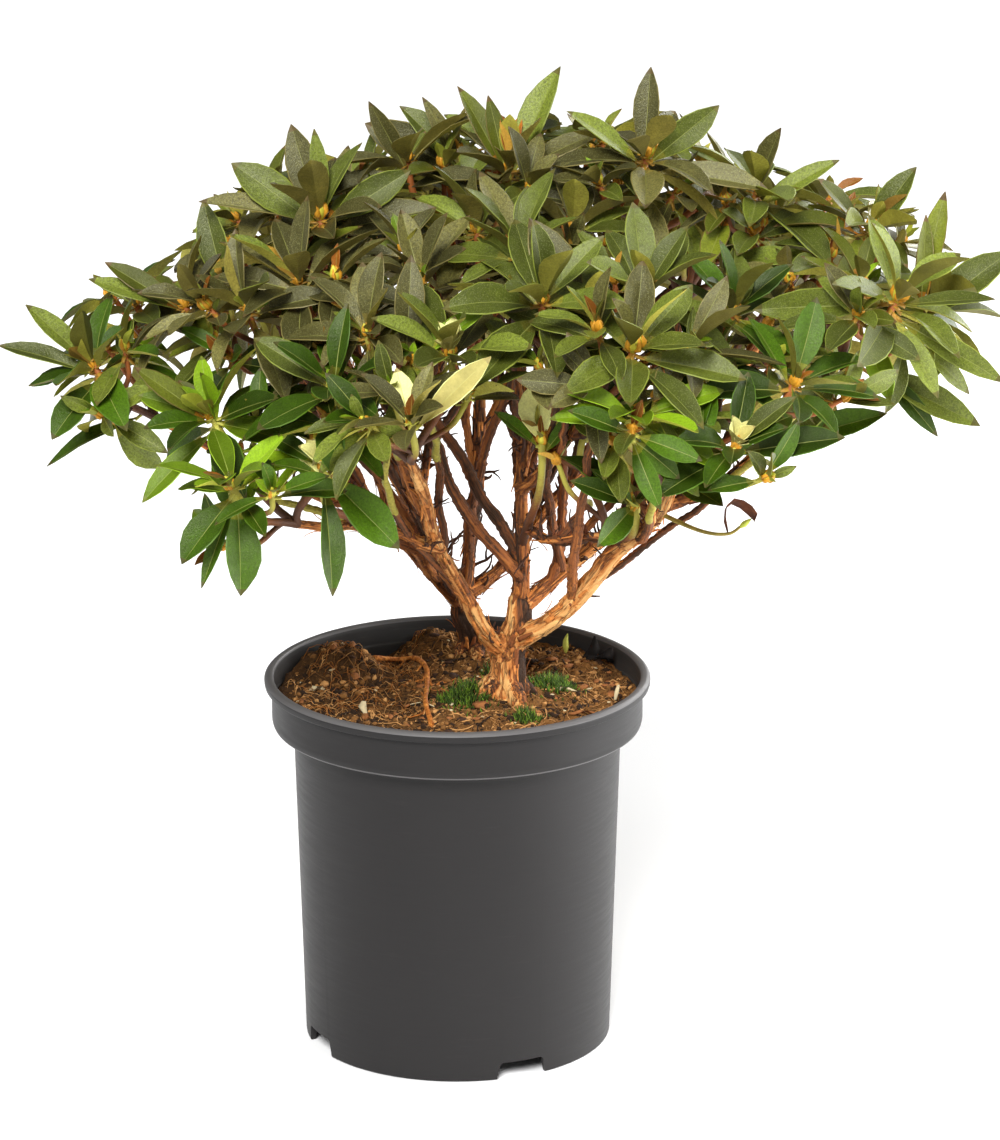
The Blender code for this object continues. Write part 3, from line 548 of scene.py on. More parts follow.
def settle(piece, slot, *nodes):
    """Makes a piece ride on the one body, and hides the solids that it stands for; its slot is not used."""
    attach(piece, BODY)
    if nodes:
        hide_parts(*nodes)
    return piece


def smooth(obj, angle=35.0):
    obj.data.shade_smooth()
    obj.data.set_sharp_from_angle(angle=math.radians(angle))


def carve(obj, cutters):
    """Cuts each cutter from the object, and removes it."""
    for cutter in cutters:
        modifier = obj.modifiers.new("Cut", "BOOLEAN")
        modifier.operation = "DIFFERENCE"
        modifier.object = cutter
    graph = bpy.context.evaluated_depsgraph_get()
    carved = bpy.data.meshes.new_from_object(obj.evaluated_get(graph))
    obj.modifiers.clear()
    obj.data = carved
    for cutter in cutters:
        bpy.data.objects.remove(cutter)


def jitter(rng, reach):
    """A random step of up to this reach each way."""
    return Vector(rng.uniform(-reach, reach) for _ in range(3))


def circled(angle, height=0.0):
    """The way at this angle round the upright, with a height."""
    return Vector((math.cos(angle), math.sin(angle), height))


def turned(way, azimuth, pitch):
    """Two ways square to each other: out round a way and raised towards it, and up from there."""
    out = Matrix.Rotation(azimuth, 3, way) @ way.orthogonal().normalized()
    raised = (out * math.cos(pitch) + way * math.sin(pitch)).normalized()
    return raised, (way * math.cos(pitch) - out * math.sin(pitch)).normalized()


class Heap:
    """Many small shapes gathered into one mesh, with a finish for each face and values for each corner."""

    def __init__(self, name, *attributes):
        self.name = name
        self.points, self.faces, self.looks = [], [], []
        self.total = 0
        self.values = {attribute: [] for attribute in attributes}

    def add(self, points, faces, look=0, **values):
        self.points.append(np.asarray(points, dtype=float).reshape(-1, 3))
        self.faces.extend([tuple(corner + self.total for corner in face) for face in faces])
        self.looks.extend(look if hasattr(look, "__len__") else [look] * len(faces))
        for attribute, kept in self.values.items():
            value = values[attribute]
            kept.extend(value if hasattr(value, "__len__") else [value] * len(self.points[-1]))
        self.total += len(self.points[-1])

    def make(self, materials):
        mesh = bpy.data.meshes.new(self.name)
        mesh.from_pydata(np.concatenate(self.points).tolist(), [], self.faces)
        mesh.polygons.foreach_set("material_index", self.looks)
        for attribute, kept in self.values.items():
            values = np.array(kept, dtype=np.float32)
            kind, key = ("FLOAT", "value") if values.ndim == 1 else ("FLOAT_VECTOR", "vector")
            mesh.attributes.new(attribute, kind, "POINT").data.foreach_set(key, values.ravel())
        mesh.shade_smooth()
        mesh.update()
        return link(self.name, mesh, materials)


def spun(profile, steps):
    """A bmesh turned round the pot's axis from a profile of radii and heights."""
    bm = bmesh.new()
    corners = [bm.verts.new((radius, 0.0, height)) for radius, height in profile]
    edges = [bm.edges.new(pair) for pair in zip(corners, corners[1:])]
    bmesh.ops.spin(
        bm, geom=corners + edges, axis=(0, 0, 1), cent=(0, 0, 0), angle=math.tau, steps=steps, use_merge=True
    )
    bmesh.ops.remove_doubles(bm, verts=bm.verts, dist=1e-6)
    return bm


def rounded(profile, steps=4):
    """The profile with each corner that gives a third value rounded by that much."""
    points = []
    for index, (radius, height, *bend) in enumerate(profile):
        here = Vector((radius, height))
        if not bend:
            points.append(here)
            continue
        before = Vector(profile[index - 1][:2])
        after = Vector(profile[index + 1][:2])
        reach = min(bend[0], (before - here).length / 2, (after - here).length / 2)
        start = here + (before - here).normalized() * reach
        end = here + (after - here).normalized() * reach
        for step in range(steps + 1):
            share = step / steps
            points.append(start.lerp(here, share).lerp(here.lerp(end, share), share))
    return [tuple(point) for point in points]


def ways_along(route):
    """The way that a route runs at each of its stations."""
    before = [route[0], *route[:-1]]
    after = [*route[1:], route[-1]]
    return [(end - start).normalized() for start, end in zip(before, after)]


def frames_along(route, ways):
    """A frame at each station of a route, its Z along the route and turned as little as can be."""
    frames = []
    side = Vector((1.0, 0.0, 0.0))
    for point, along in zip(route, ways):
        side = side - along * side.dot(along)
        if side.length < 1e-4:
            side = along.orthogonal()
        side.normalize()
        frame_here = Matrix((side, along.cross(side), along)).transposed().to_4x4()
        frame_here.translation = point
        frames.append(frame_here)
    return frames


def tube(route, ways, radii, sides):
    """A tapering limb: a ring of corners extruded from station to station, its ends capped flat."""
    bm = bmesh.new()
    places = [
        frame_here @ Matrix.Diagonal((radius, radius, 1.0, 1.0))
        for frame_here, radius in zip(frames_along(route, ways), radii)
    ]
    bmesh.ops.create_circle(bm, segments=sides, radius=1.0, matrix=places[0])
    ring = list(bm.edges)
    for place, following in zip(places, places[1:]):
        made = bmesh.ops.extrude_edge_only(bm, edges=ring)["geom"]
        ring = [part for part in made if isinstance(part, bmesh.types.BMEdge)]
        corners = [part for part in made if isinstance(part, bmesh.types.BMVert)]
        bmesh.ops.transform(bm, matrix=following @ place.inverted(), verts=corners)
    bmesh.ops.holes_fill(bm, edges=bm.edges, sides=sides)
    bmesh.ops.triangulate(bm, faces=bm.faces)
    bm.verts.index_update()
    return bm


def rod(route, radii, sides):
    """The corners and faces of a round rod along a route, closed at both ends."""
    circle = [(math.cos(math.tau * side / sides), math.sin(math.tau * side / sides)) for side in range(sides)]
    points = []
    for place, radius in zip(frames_along(route, ways_along(route)), radii):
        points += [place @ Vector((x * radius, y * radius, 0.0)) for x, y in circle]
    faces = [tuple(range(sides - 1, -1, -1))]
    for station in range(len(route) - 1):
        for side in range(sides):
            first = station * sides + side
            second = station * sides + (side + 1) % sides
            faces.append((first, second, second + sides, first + sides))
    faces.append(tuple(range((len(route) - 1) * sides, len(route) * sides)))
    return points, faces


def rounded_route(route, step=FINE_STEP):
    """A smooth curve through the stations of a route, and the station number of each of its points."""
    ends = [route[0] * 2 - route[1], *route, route[-1] * 2 - route[-2]]
    points = []
    stations = []
    for index in range(len(route) - 1):
        a, b, c, d = ends[index:index + 4]
        pieces = max(1, round((c - b).length / step))
        for piece in range(pieces):
            t = piece / pieces
            bend, twist = a * 2 - b * 5 + c * 4 - d, b * 3 - a - c * 3 + d
            points.append((b * 2 + (c - a) * t + bend * t * t + twist * t ** 3) / 2)
            stations.append(index + t)
    return points + [route[-1]], stations + [len(route) - 1]


class Limb:
    """A trunk, stem or bough: its route, its radii and its sides."""

    def __init__(self, route, radii, sides, rooted=False):
        self.route, self.radii, self.sides = route, radii, sides
        self.ways = ways_along(route)
        if rooted:
            self.ways[0] = Vector((0.0, 0.0, 1.0))

    def at(self, share):
        """The point on the axis this far along its stations."""
        place = share * (len(self.route) - 1)
        index = min(int(place), len(self.route) - 2)
        return self.route[index].lerp(self.route[index + 1], place - index)


def outward(point):
    """The way that a shoot at this place in the crown looks: out from the crown's heart, and up."""
    away = (point - CROWN_FOCUS).normalized()
    return (away + Vector((0, 0, 1))).normalized()


def bent(start, end, bow, stations):
    """A smooth route from start to end whose middle is moved by the bow."""
    middle = (start + end) / 2 + 2 * bow
    points = []
    for station in range(stations):
        share = station / (stations - 1)
        points.append(start.lerp(middle, share).lerp(middle.lerp(end, share), share))
    return points


def crooked(route, rng, crook=CROOK):
    """The same route with its inner stations moved a little, as bark-bound wood grows."""
    return [route[0], *(point + jitter(rng, crook) for point in route[1:-1]), route[-1]]


def grow_stems(rng):
    """The trunk and the stem behind it, each with a root flare above a flat cut at ground level."""
    stems = {}
    for name, (foot_x, foot_y), fork, (flare, above, top) in STEMS:
        foot = Vector((foot_x, foot_y, GROUND))
        fork = MOUTH + Vector(fork)
        radii = [flare, flare * FLARE_EASE, above, above, (above + top) / 2, top * FORK_TAPER]
        route = crooked([foot.lerp(fork, share) for share in STEM_SHARES], rng)
        stems[name] = Limb(route, radii, TRUNK_SIDES, rooted=True)
    return stems


def grow_boughs(limbs, rng):
    """Adds each bough, from inside the limb that it leaves to just short of its mass."""
    centres = {name: MOUTH + Vector(centre) for name, centre, *_ in MASSES}
    carriers = {}
    for name, parent, share, mass, radius, bow in BOUGHS:
        start = limbs[parent].at(share)
        tip_radius = BOUGH_TIP_RADIUS + BOUGH_TIP_SHARE * radius
        tip = centres[mass] - outward(centres[mass]) * MASS_DEPTH
        route = crooked(bent(start, tip, Vector(bow), BOUGH_STATIONS), rng)
        last = BOUGH_STATIONS - 1
        radii = [radius + (tip_radius - radius) * station / last for station in range(BOUGH_STATIONS)]
        limbs[name] = Limb(route, radii, BOUGH_SIDES if radius > THICK_BOUGH else STEM_SIDES)
        carriers[mass] = name
    return carriers


def eased(start, start_way, end, end_way, stations):
    """A route that leaves start along one way and arrives at end along another."""
    reach = (end - start).length
    first = start + start_way * reach * TWIG_EASE
    last = end - end_way * reach * TWIG_EASE
    points = []
    for station in range(stations):
        t = station / (stations - 1)
        s = 1 - t
        points.append(start * s ** 3 + first * 3 * s * s * t + last * 3 * s * t * t + end * t ** 3)
    return points


class Whorl:
    """The end of one twig: where its bud sits, which way it looks, its turn, size and number of leaves."""

    def __init__(self, tip, way, turn, size_share, leaves):
        self.tip, self.way, self.turn = tip, way, turn
        self.size, self.leaves = size_share, leaves
        self.mass = self.tint = self.accent = None
        self.aimed = []

    def base(self):
        return self.tip - self.way * WHORL_LENGTH


class Mass:
    """The stem of a mass of foliage and the places of its whorls."""

    def __init__(self, name, centre, carrier, shoots, spread, turn, tints):
        self.name, self.centre, self.shoots = name, centre, shoots
        self.spread, self.turn, self.tints = spread, turn, tints
        self.stem_way = carrier.ways[-1]
        self.stem_start = carrier.route[-1] + self.stem_way * GAP
        self.stem_radius = carrier.radii[-1]
        self.hub = self.stem_start + self.stem_way * STEM_LENGTH
        self.way = outward(centre)

    def deal(self, rng):
        """A tint for one leaf or whorl of this part of the crown."""
        return rng.choices(TINTS[:len(self.tints)], self.tints)[0]

    def stem(self):
        route = [self.stem_start, self.hub, self.hub + self.stem_way * STEM_LENGTH / 4]
        radii = [self.stem_radius] + [self.stem_radius * taper for taper in HUB_TAPER]
        return route, tube(route, [self.stem_way] * len(route), radii, STEM_SIDES)

    def whorl(self, shoot, swing, looks, leaves):
        """The whorl of this shoot, swung round the mass by some degrees."""
        turn, reach, lift, leaf_turn, size_share = looks
        side = self.way.cross(Vector((0, 0, 1))).normalized()
        over = side.cross(self.way)
        angle = math.radians(self.turn + 360.0 * shoot / self.shoots + turn + swing)
        offset = (side * math.cos(angle) + over * math.sin(angle)) * self.spread * reach
        tip = self.centre + offset + self.way * lift
        return Whorl(tip, outward(tip), leaf_turn, size_share, leaves)

    def twig(self, whorl, stations):
        """The route of a whorl's twig, and the way that it leaves the stem."""
        start = self.hub - self.stem_way * STEM_LENGTH / 3
        leave = (self.stem_way + (whorl.base() - start).normalized()).normalized()
        return eased(start, leave, whorl.base(), whorl.way, stations), leave


def twig_shape(mass, whorl):
    """A plain twig from the stem of its mass to the point of its bud, to test that it stays clear."""
    route, leave = mass.twig(whorl, TWIG_STATIONS)
    ways = [leave, *ways_along(route)[1:-1], whorl.way, whorl.way, whorl.way]
    radii = [SHOOT_RADIUS] * (TWIG_STATIONS - 1) + [SHOOT_TIP_RADIUS, BUD_RADIUS, BUD_RADIUS * 0.25]
    route += [whorl.tip, whorl.tip + whorl.way * BUD_LENGTH]
    return route, tube(route, ways, radii, TWIG_SIDES)


def swollen_tree(bm, extra):
    """A search tree of this shape with each corner moved out, to test that it stays clear."""
    bm.normal_update()
    points = [vertex.co + vertex.normal * extra for vertex in bm.verts]
    faces = [[vertex.index for vertex in face.verts] for face in bm.faces]
    bm.free()
    return BVHTree.FromPolygons(points, faces)


class Placed:
    """A piece that is there: its search tree, a ball round it, and the mass and whorl it belongs to."""

    def __init__(self, tree, route, mass=None, whorl=None):
        self.tree, self.mass, self.whorl = tree, mass, whorl
        self.centre = (route[0] + route[-1]) / 2
        self.reach = max((point - self.centre).length for point in route) + 2 * SHOOT_RADIUS

    def touches(self, other):
        near = (self.centre - other.centre).length < self.reach + other.reach
        return near and bool(self.tree.overlap(other.tree))


class Plant:
    """The whole plant as it grew: its limbs, the stems of its masses, its twigs and their whorls."""

    def __init__(self, leaves, side_leaves):
        rng = random.Random(GROWTH_SEED)
        self.limbs = grow_stems(rng)
        self.carriers = grow_boughs(self.limbs, rng)
        self.placed = [
            Placed(swollen_tree(tube(limb.route, limb.ways, limb.radii, limb.sides), GAP), limb.route)
            for limb in self.limbs.values()
        ]
        self.masses = {}
        self.foliage = [name + "_leaves" for name in self.carriers]
        for name, centre, *shape in MASSES:
            self.masses[name] = Mass(name, MOUTH + Vector(centre), self.limbs[self.carriers[name]], *shape)
        for mass in self.masses.values():
            route, stem = mass.stem()
            self.placed.append(Placed(swollen_tree(stem, GAP), route, mass))
        self.twigs = []
        for mass in self.masses.values():
            for shoot in range(mass.shoots):
                self.grow_twig(mass, shoot, leaves, rng)
        self.grow_side_shoots(side_leaves, random.Random(GROWTH_SEED + 1))
        self.grow_slender_stems(random.Random(GROWTH_SEED + 3))
        self.grow_front_shoots(random.Random(GROWTH_SEED + 4))
        self.whorls = [whorl for whorl, *_ in self.twigs]
        self.deal_tints(random.Random(GROWTH_SEED + 2))

    def grow_twig(self, mass, shoot, leaves, rng):
        """The twig of this shoot, swung round the mass until it is clear of the limbs and of other masses."""
        looks = (
            rng.uniform(-SHOOT_TURN, SHOOT_TURN),
            rng.uniform(1 - SHOOT_REACH, 1 + SHOOT_REACH),
            rng.uniform(-SHOOT_LIFT, SHOOT_LIFT),
            rng.uniform(0, 360),
            rng.uniform(1 - SHOOT_SIZE, 1 + SHOOT_SIZE),
        )
        for swing in TWIG_TRIES:
            whorl = mass.whorl(shoot, swing, looks, leaves)
            route, shape = twig_shape(mass, whorl)
            twig = Placed(swollen_tree(shape, LEAF_CLEARANCE), route, mass, whorl)
            if not any(other.mass is not mass and twig.touches(other) for other in self.placed):
                self.placed.append(twig)
                whorl.mass = mass
                self.twigs.append((whorl, mass.twig(whorl, TWIG_POINTS)[0], *TWIG_RADII))
                return

    def grow_side_shoots(self, leaves, rng):
        """Shorter twigs on the twigs, where there is room for another whorl behind the outer ones."""
        for whorl, route, *_ in list(self.twigs):
            for share in SIDE_SHARES:
                station = round(share * (len(route) - 1))
                start = route[station]
                along = ways_along(route)[station]
                turn = Matrix.Rotation(math.radians(rng.uniform(0, 360)), 3, along)
                tilt = math.radians(SIDE_TILT)
                out = turn @ along.orthogonal().normalized()
                way = (along * math.cos(tilt) + out * math.sin(tilt)).normalized()
                way = (way + SIDE_RISE).normalized()
                end = start + way * SIDE_LENGTH * rng.uniform(0.8, 1.25)
                look = (way + outward(end)).normalized()
                side = Whorl(end + look * WHORL_LENGTH, look, rng.uniform(0, 360), SIDE_SIZE, leaves)
                side.mass = whorl.mass
                if all((side.tip - other.tip).length > SIDE_SPACING for other, *_ in self.twigs):
                    self.keep_twig(side, eased(start, way, end, look, TWIG_POINTS), *SIDE_RADII)

    def keep_twig(self, whorl, route, thick, thin):
        """Adds a twig and its bud, and a plain shape of them for the leaves to stay clear of."""
        self.twigs.append((whorl, route, thick, thin))
        run = route[::3] + [whorl.tip, whorl.tip + whorl.way * BUD_LENGTH]
        shape = tube(run, ways_along(run), [thick] * (len(run) - 2) + [BUD_RADIUS, thin], TEST_SIDES)
        self.placed.append(Placed(swollen_tree(shape, 0.0), run, whorl.mass, whorl))

    def grow_front_shoots(self, rng):
        """The green shoots that the photograph shows before the boughs, each from the limb behind it."""
        for limb, share, pixel, forward, leaves in FRONT_SHOOTS:
            start = self.limbs[limb].at(share)
            tip = shown_at(start, pixel, forward)
            way = (Vector((0, 0, 1)) + camera_back() * 0.45).normalized()
            leave = (tip - start + Vector((0, 0, 0.01))).normalized()
            whorl = Whorl(tip, way, rng.uniform(0, 360), FRONT_SIZE, leaves)
            whorl.mass = self.masses["inner_low"]
            self.keep_twig(whorl, eased(start, leave, whorl.base(), way, TWIG_POINTS), *FRONT_RADII)

    def deal_tints(self, rng):
        """Gives each whorl its leaves' tint by its part of the crown, and marks those that stand out."""
        for whorl in self.whorls:
            whorl.tint = whorl.mass.deal(rng)
        outer = [whorl for whorl in self.whorls if whorl.size > SIDE_SIZE]
        for pixel, accent in ACCENTS:
            min(outer, key=lambda whorl: away_from(pixel, whorl.tip)).accent = accent
        for *ends, tint, width in OUTLINE_LEAVES:
            root, tip = ends[:2], ends[2:]
            whorl = min(outer, key=lambda whorl: away_from(root, whorl.tip))
            start = None
            if (on_photo(whorl.tip)[0] - Vector(root)).length > STRAY_ROOT:
                start = min(self.wood_points(), key=lambda point: away_from(root, point))
            whorl.aimed.append((tip, tint, width, start))

    def wood_points(self):
        """Places along the twigs and boughs where a single leaf can be rooted."""
        routes = [route for _, route, *_ in self.twigs] + [limb.route for limb in self.limbs.values()]
        return [point for route in routes for point in rounded_route(route)[0]]

    def grow_slender_stems(self, rng):
        """Thinner stems, from low on a bough up to one of the twigs of its mass or of another."""
        thick, thin = SLENDER_RADII
        wanted = [
            (self.carriers[name], share * rng.uniform(0.85, 1.15), name, thick * rng.uniform(0.8, 1.1))
            for name in self.masses if name not in NO_SLENDER_STEMS for share in SLENDER_SHARES
        ]
        self.slender = []
        for limb, share, name, radius in [*CROSSING_STEMS, *wanted]:
            start = self.limbs[limb].at(share)
            own = [route for whorl, route, *_ in self.twigs if whorl.mass.name == name]
            end = rng.choice(own)[SLENDER_JOIN]
            side = (end - start).cross(jitter(rng, 1)).normalized()
            bow = side * rng.uniform(0.008, 0.020) + Vector((0, 0, 0.003))
            route = crooked(bent(start, end, bow, SLENDER_STATIONS), rng, SLENDER_CROOK)
            stem = Limb(route, list(np.linspace(radius, thin, SLENDER_STATIONS)), STEM_SIDES)
            self.slender.append((stem, name in GREEN_TWIGS or rng.random() < 0.2))
            shape = tube(route, stem.ways, stem.radii, TEST_SIDES)
            self.placed.append(Placed(swollen_tree(shape, 0.0), route, self.masses[name]))


def camera_back():
    """The way from the camera's target to the camera."""
    pitch = math.radians(CAMERA_PITCH)
    return Vector((0.0, -math.cos(pitch), math.sin(pitch)))


def camera_up():
    return camera_back().cross(Vector((1, 0, 0)))


def on_photo(point):
    """The pixel of the photograph where a point shows, and how many pixels a metre takes there."""
    offset = point - CAMERA_TARGET
    scale = CAMERA_LENS / CAMERA_SENSOR * PHOTO_SIZE.y / (CAMERA_DISTANCE - offset.dot(camera_back()))
    return PHOTO_SIZE / 2 + Vector((offset.x, -offset.dot(camera_up()))) * scale, scale


def shown_at(start, pixel, forward):
    """The point that shows at a pixel of the photograph, this far nearer to the camera than a start."""
    shown, scale = on_photo(start)
    across, down = (Vector(pixel) - shown) / scale
    return start + Vector((across, 0, 0)) - camera_up() * down + camera_back() * forward


def away_from(pixel, point):
    """How far a point shows from a pixel, with a little more for what stands far back."""
    return (on_photo(point)[0] - Vector(pixel)).length + max(0.0, point.y) * FAR_SIDE


def within_crown(point):
    """Whether a leaf's tip here stays inside the crown's edge in the photograph."""
    x, y = on_photo(point)[0]
    columns, upper, lower = zip(*CROWN_EDGES)
    return np.interp(x, columns, upper) - EDGE_SLACK < y < np.interp(x, columns, lower) + EDGE_SLACK


PLANT = []


def plant():
    """The plant, grown once for all the pieces that follow it."""
    if not PLANT:
        leaves = bpy.context.scene.shrub_leaves
        PLANT.append(Plant(leaves.leaves, leaves.side_leaves))
    return PLANT[0]


def pot_profile():
    """The pot's section, from the middle of its underside round the lip to the middle of its floor."""
    inner = BAND_RADIUS - WALL
    return rounded([
        (0.0, 0.0),
        (CENTRE_FOOT_RADIUS, 0.0, FOOT_ROUND),
        (CENTRE_FOOT_RADIUS + 2 * WALL, FLOOR_RISE, WALL),
        (BODY_FOOT_RADIUS - FOOT_RING - FOOT_ROUND, FLOOR_RISE, WALL),
        (BODY_FOOT_RADIUS - FOOT_RING, 0.0, FOOT_ROUND),
        (BODY_FOOT_RADIUS, 0.0, 2 * FOOT_ROUND),
        (BODY_TOP_RADIUS, BAND_FOOT - SHOULDER, SHOULDER / 2),
        (BAND_RADIUS - BAND_ROUND / 3, BAND_FOOT, BAND_ROUND / 3),
        (BAND_RADIUS, BAND_FOOT + BAND_ROUND, BAND_ROUND),
        (BAND_RADIUS, LIP_FOOT, LIP_ROUND),
        (LIP_RADIUS - LIP_ROUND / 2, LIP_FOOT + LIP_ROUND / 2, LIP_ROUND),
        (LIP_RADIUS, POT_HEIGHT - 2 * LIP_ROUND, LIP_ROUND),
        (LIP_RADIUS - 2 * LIP_ROUND, POT_HEIGHT, LIP_ROUND),
        (inner + LIP_ROUND, POT_HEIGHT, 2 * LIP_ROUND),
        (inner + LIP_ROUND / 2, POT_HEIGHT - LIP_CURL, LIP_ROUND),
        (inner + LIP_ROUND / 2, POT_HEIGHT - INNER_LEDGE, LIP_ROUND / 2),
        (inner, POT_HEIGHT - INNER_LEDGE - LIP_ROUND, LIP_ROUND / 2),
        (inner, BAND_FOOT + WALL, WALL),
        (BODY_TOP_RADIUS - WALL, BAND_FOOT - SHOULDER + LIP_ROUND, WALL),
        (BODY_FOOT_RADIUS - WALL, FLOOR_RISE + WALL, WALL),
        (CENTRE_FOOT_RADIUS + WALL, FLOOR_RISE + WALL, WALL),
        (CENTRE_FOOT_RADIUS - WALL, WALL, WALL / 2),
        (0.0, WALL),
    ])


def placed_round(turn, reach, height):
    """A place at this reach from the pot's axis, turned round it."""
    return Matrix.Rotation(math.radians(turn), 4, "Z") @ Matrix.Translation((reach, 0, height))


def notch(turn):
    """A cutter for one of the slots in the foot ring, wider at the bottom and rounded at the top."""
    bm = bmesh.new()
    bmesh.ops.create_cube(bm, size=1.0, matrix=Matrix.Diagonal((NOTCH_DEPTH, NOTCH_WIDTH, FLOOR_RISE, 1.0)))
    for corner in bm.verts:
        if corner.co.z < 0:
            corner.co.y += math.copysign(NOTCH_SLANT / 2, corner.co.y)
            corner.co.z -= WALL
    upper = [edge for edge in bm.edges if all(corner.co.z > 0 for corner in edge.verts)]
    sides = [edge for edge in upper if abs(edge.verts[0].co.y - edge.verts[1].co.y) < GAP]
    bmesh.ops.bevel(bm, geom=sides, offset=WALL, segments=3, profile=0.5, affect="EDGES", material=-1)
    bmesh.ops.transform(bm, matrix=placed_round(turn, BODY_FOOT_RADIUS, FLOOR_RISE / 2 - GAP), verts=bm.verts)
    return finished(bm, "notch")


def drain(turn):
    """A cutter for one of the drain holes in the raised floor."""
    bm = bmesh.new()
    bmesh.ops.create_cone(
        bm, cap_ends=True, segments=20, radius1=DRAIN_RADIUS, radius2=DRAIN_RADIUS, depth=4 * WALL,
        matrix=placed_round(turn, DRAIN_REACH, FLOOR_RISE + WALL / 2),
    )
    return finished(bm, "drain")


def plastic(name, base, grain, wear_and_painted_highlight):
    """Moulded plastic: a fine grain, faint scuffs round the pot and a little dust."""
    made = Finish(name, 0.5, Specular_IOR_Level=0.32)
    place = made.place()
    round_it = made.place(scale=(1.0, 1.0, 14.0))
    dust = made.noise(place, 26.0, detail=6.0)
    scuffs = made.noise(round_it, 38.0, detail=4.0)
    mottled = made.mix(made.times(dust, 0.5), shade(base, 0.88), shade(base, 1.16))
    lifted = made.ramp(scuffs, ((0.60, 0.0), (0.74, 1.0)))
    made.paint(made.mix(made.times(lifted, wear_and_painted_highlight), mottled, shade(base, 2.1)))
    made.gloss(scuffs, 0.40, 0.60)
    made.bump(made.noise(place, 1900.0, detail=2.0), grain, 0.6)
    return made.material


class Step:
    """What every step shares: it can be undone."""

    bl_options = {"REGISTER", "UNDO"}


class SHRUB_OT_pot(Step, bpy.types.Operator):
    """Turns the nursery pot, with its lip, band, foot notches and drain holes"""

    bl_idname = "shrub.make_pot"
    bl_label = "Make the pot"

    def execute(self, context):
        settings = context.scene.shrub_pot
        outside = plastic("pot_outside", settings.plastic, settings.grain, 0.30)
        # Painted light: the inner wall's lighter plastic lifts the shade inside the pot.
        inside = plastic("pot_inside", settings.inside, settings.grain, 0.45)
        # Painted highlight: a paler copy of the plastic for the lip's top and the band's foot.
        wear_and_painted_highlight = plastic("pot_edges", settings.wear_and_painted_highlight, settings.grain, 0.25)
        pot = finished(spun(pot_profile(), settings.steps), "pot_shell", (outside, inside, wear_and_painted_highlight))
        cutters = []
        for quarter in range(4):
            turn = NOTCH_TURN + 90.0 * quarter
            cutters += [notch(turn), drain(turn + 45.0)]
        carve(pot, cutters)
        for face in pot.data.polygons:
            middle = Vector((face.center.x, face.center.y, 0.0))
            inwards = face.normal.dot(middle.normalized()) < -0.3 and face.center.z > FLOOR_RISE
            face.material_index = int(inwards and middle.length < BAND_RADIUS - WALL + LIP_ROUND)
            # Faces on the lip's top and at the band's foot take the painted highlight.
            top = face.center.z > POT_HEIGHT - 2 * LIP_ROUND and face.normal.z > 0.2
            step = abs(face.center.z - BAND_FOOT) < BAND_ROUND / 3 and middle.length > BODY_TOP_RADIUS + GAP
            if top or step:
                face.material_index = 2
        smooth(pot)
        settle(pot, "pot_plastic", "pot")
        return {"FINISHED"}


def soil_height(x, y):
    """The height of the peat's even surface at this place."""
    height = SOIL_LEVEL
    for (mound_x, mound_y), rise, spread in SOIL_MOUNDS:
        away = math.hypot(x - mound_x, y - mound_y) / spread
        height += rise * math.exp(-away * away)
    return height


def crumbly(x, y, depth):
    """The height of the peat's surface with its clods and crumbs."""
    spot = Vector((x, y, 0.0))
    clods = noise.fractal(spot * 60.0, 0.9, 2.1, 3) * 1.5
    lumps = abs(noise.noise(spot * 150.0)) * 1.4
    crumbs = noise.fractal(spot * 380.0, 0.7, 2.2, 3) * 0.8
    return soil_height(x, y) + depth * (clods + lumps + crumbs - 0.3)


def peat_finish(settings):
    made = Finish("peat", 0.95, Specular_IOR_Level=0.2)
    place = made.place()
    broad = made.noise(place, 60.0, detail=5.0)
    fine = made.noise(place, 520.0, detail=5.0, roughness=0.7)
    base = made.ramp(fine, ((0.36, settings.dark), (0.52, settings.brown), (0.72, settings.tan)))
    wet = made.ramp(broad, ((0.35, shade(settings.dark, 0.8)), (0.65, settings.brown)))
    damp_and_painted_shade = made.mix(0.55, base, wet)
    grit = made.ramp(made.cells(place, 800.0), ((0.10, 1.0), (0.16, 0.0)))
    # The broad damp patches above are random; below, painted shade darkens the peat towards the dark crumb
    # colour on the left side of the pot.
    across = made.node("SeparateXYZ", {"Vector": place}).outputs["X"]
    painted_shade_leftwards = made.math("ADD", made.times(across, 6.0), 0.5)
    damp_and_painted_shade = made.mix(made.ramp(painted_shade_leftwards, ((0.20, 0.72), (0.62, 0.0))), damp_and_painted_shade, settings.dark)
    made.paint(made.mix(made.times(grit, 0.35), damp_and_painted_shade, shade(settings.tan, 1.3)))
    made.bump(made.noise(place, 900.0, detail=4.0), 0.0008, 0.8)
    return made.material


class SHRUB_OT_peat(Step, bpy.types.Operator):
    """Fills the pot with crumbly peat in mounds and hollows"""

    bl_idname = "shrub.fill_peat"
    bl_label = "Fill with peat"

    rings = 96
    steps = 300

    def execute(self, context):
        settings = context.scene.shrub_peat
        top = [(SOIL_RADIUS * (ring / self.rings) ** 0.9, SOIL_LEVEL) for ring in range(self.rings + 1)]
        below = [
            (SOIL_RADIUS, BAND_FOOT + 2 * WALL),
            (BODY_TOP_RADIUS - 1.5 * WALL, BAND_FOOT - SHOULDER),
            (BODY_FOOT_RADIUS - 1.5 * WALL, FLOOR_RISE + 1.5 * WALL),
            (0.0, FLOOR_RISE + 1.5 * WALL),
        ]
        bm = spun(top + below, self.steps)
        for vertex in bm.verts:
            if vertex.co.z > SOIL_LEVEL - GAP:
                vertex.co.z = crumbly(vertex.co.x, vertex.co.y, settings.crumb)
        peat = finished(bm, "peat_ball", (peat_finish(settings),))
        peat.data.shade_smooth()
        settle(peat, "peat", "soil")
        return {"FINISHED"}


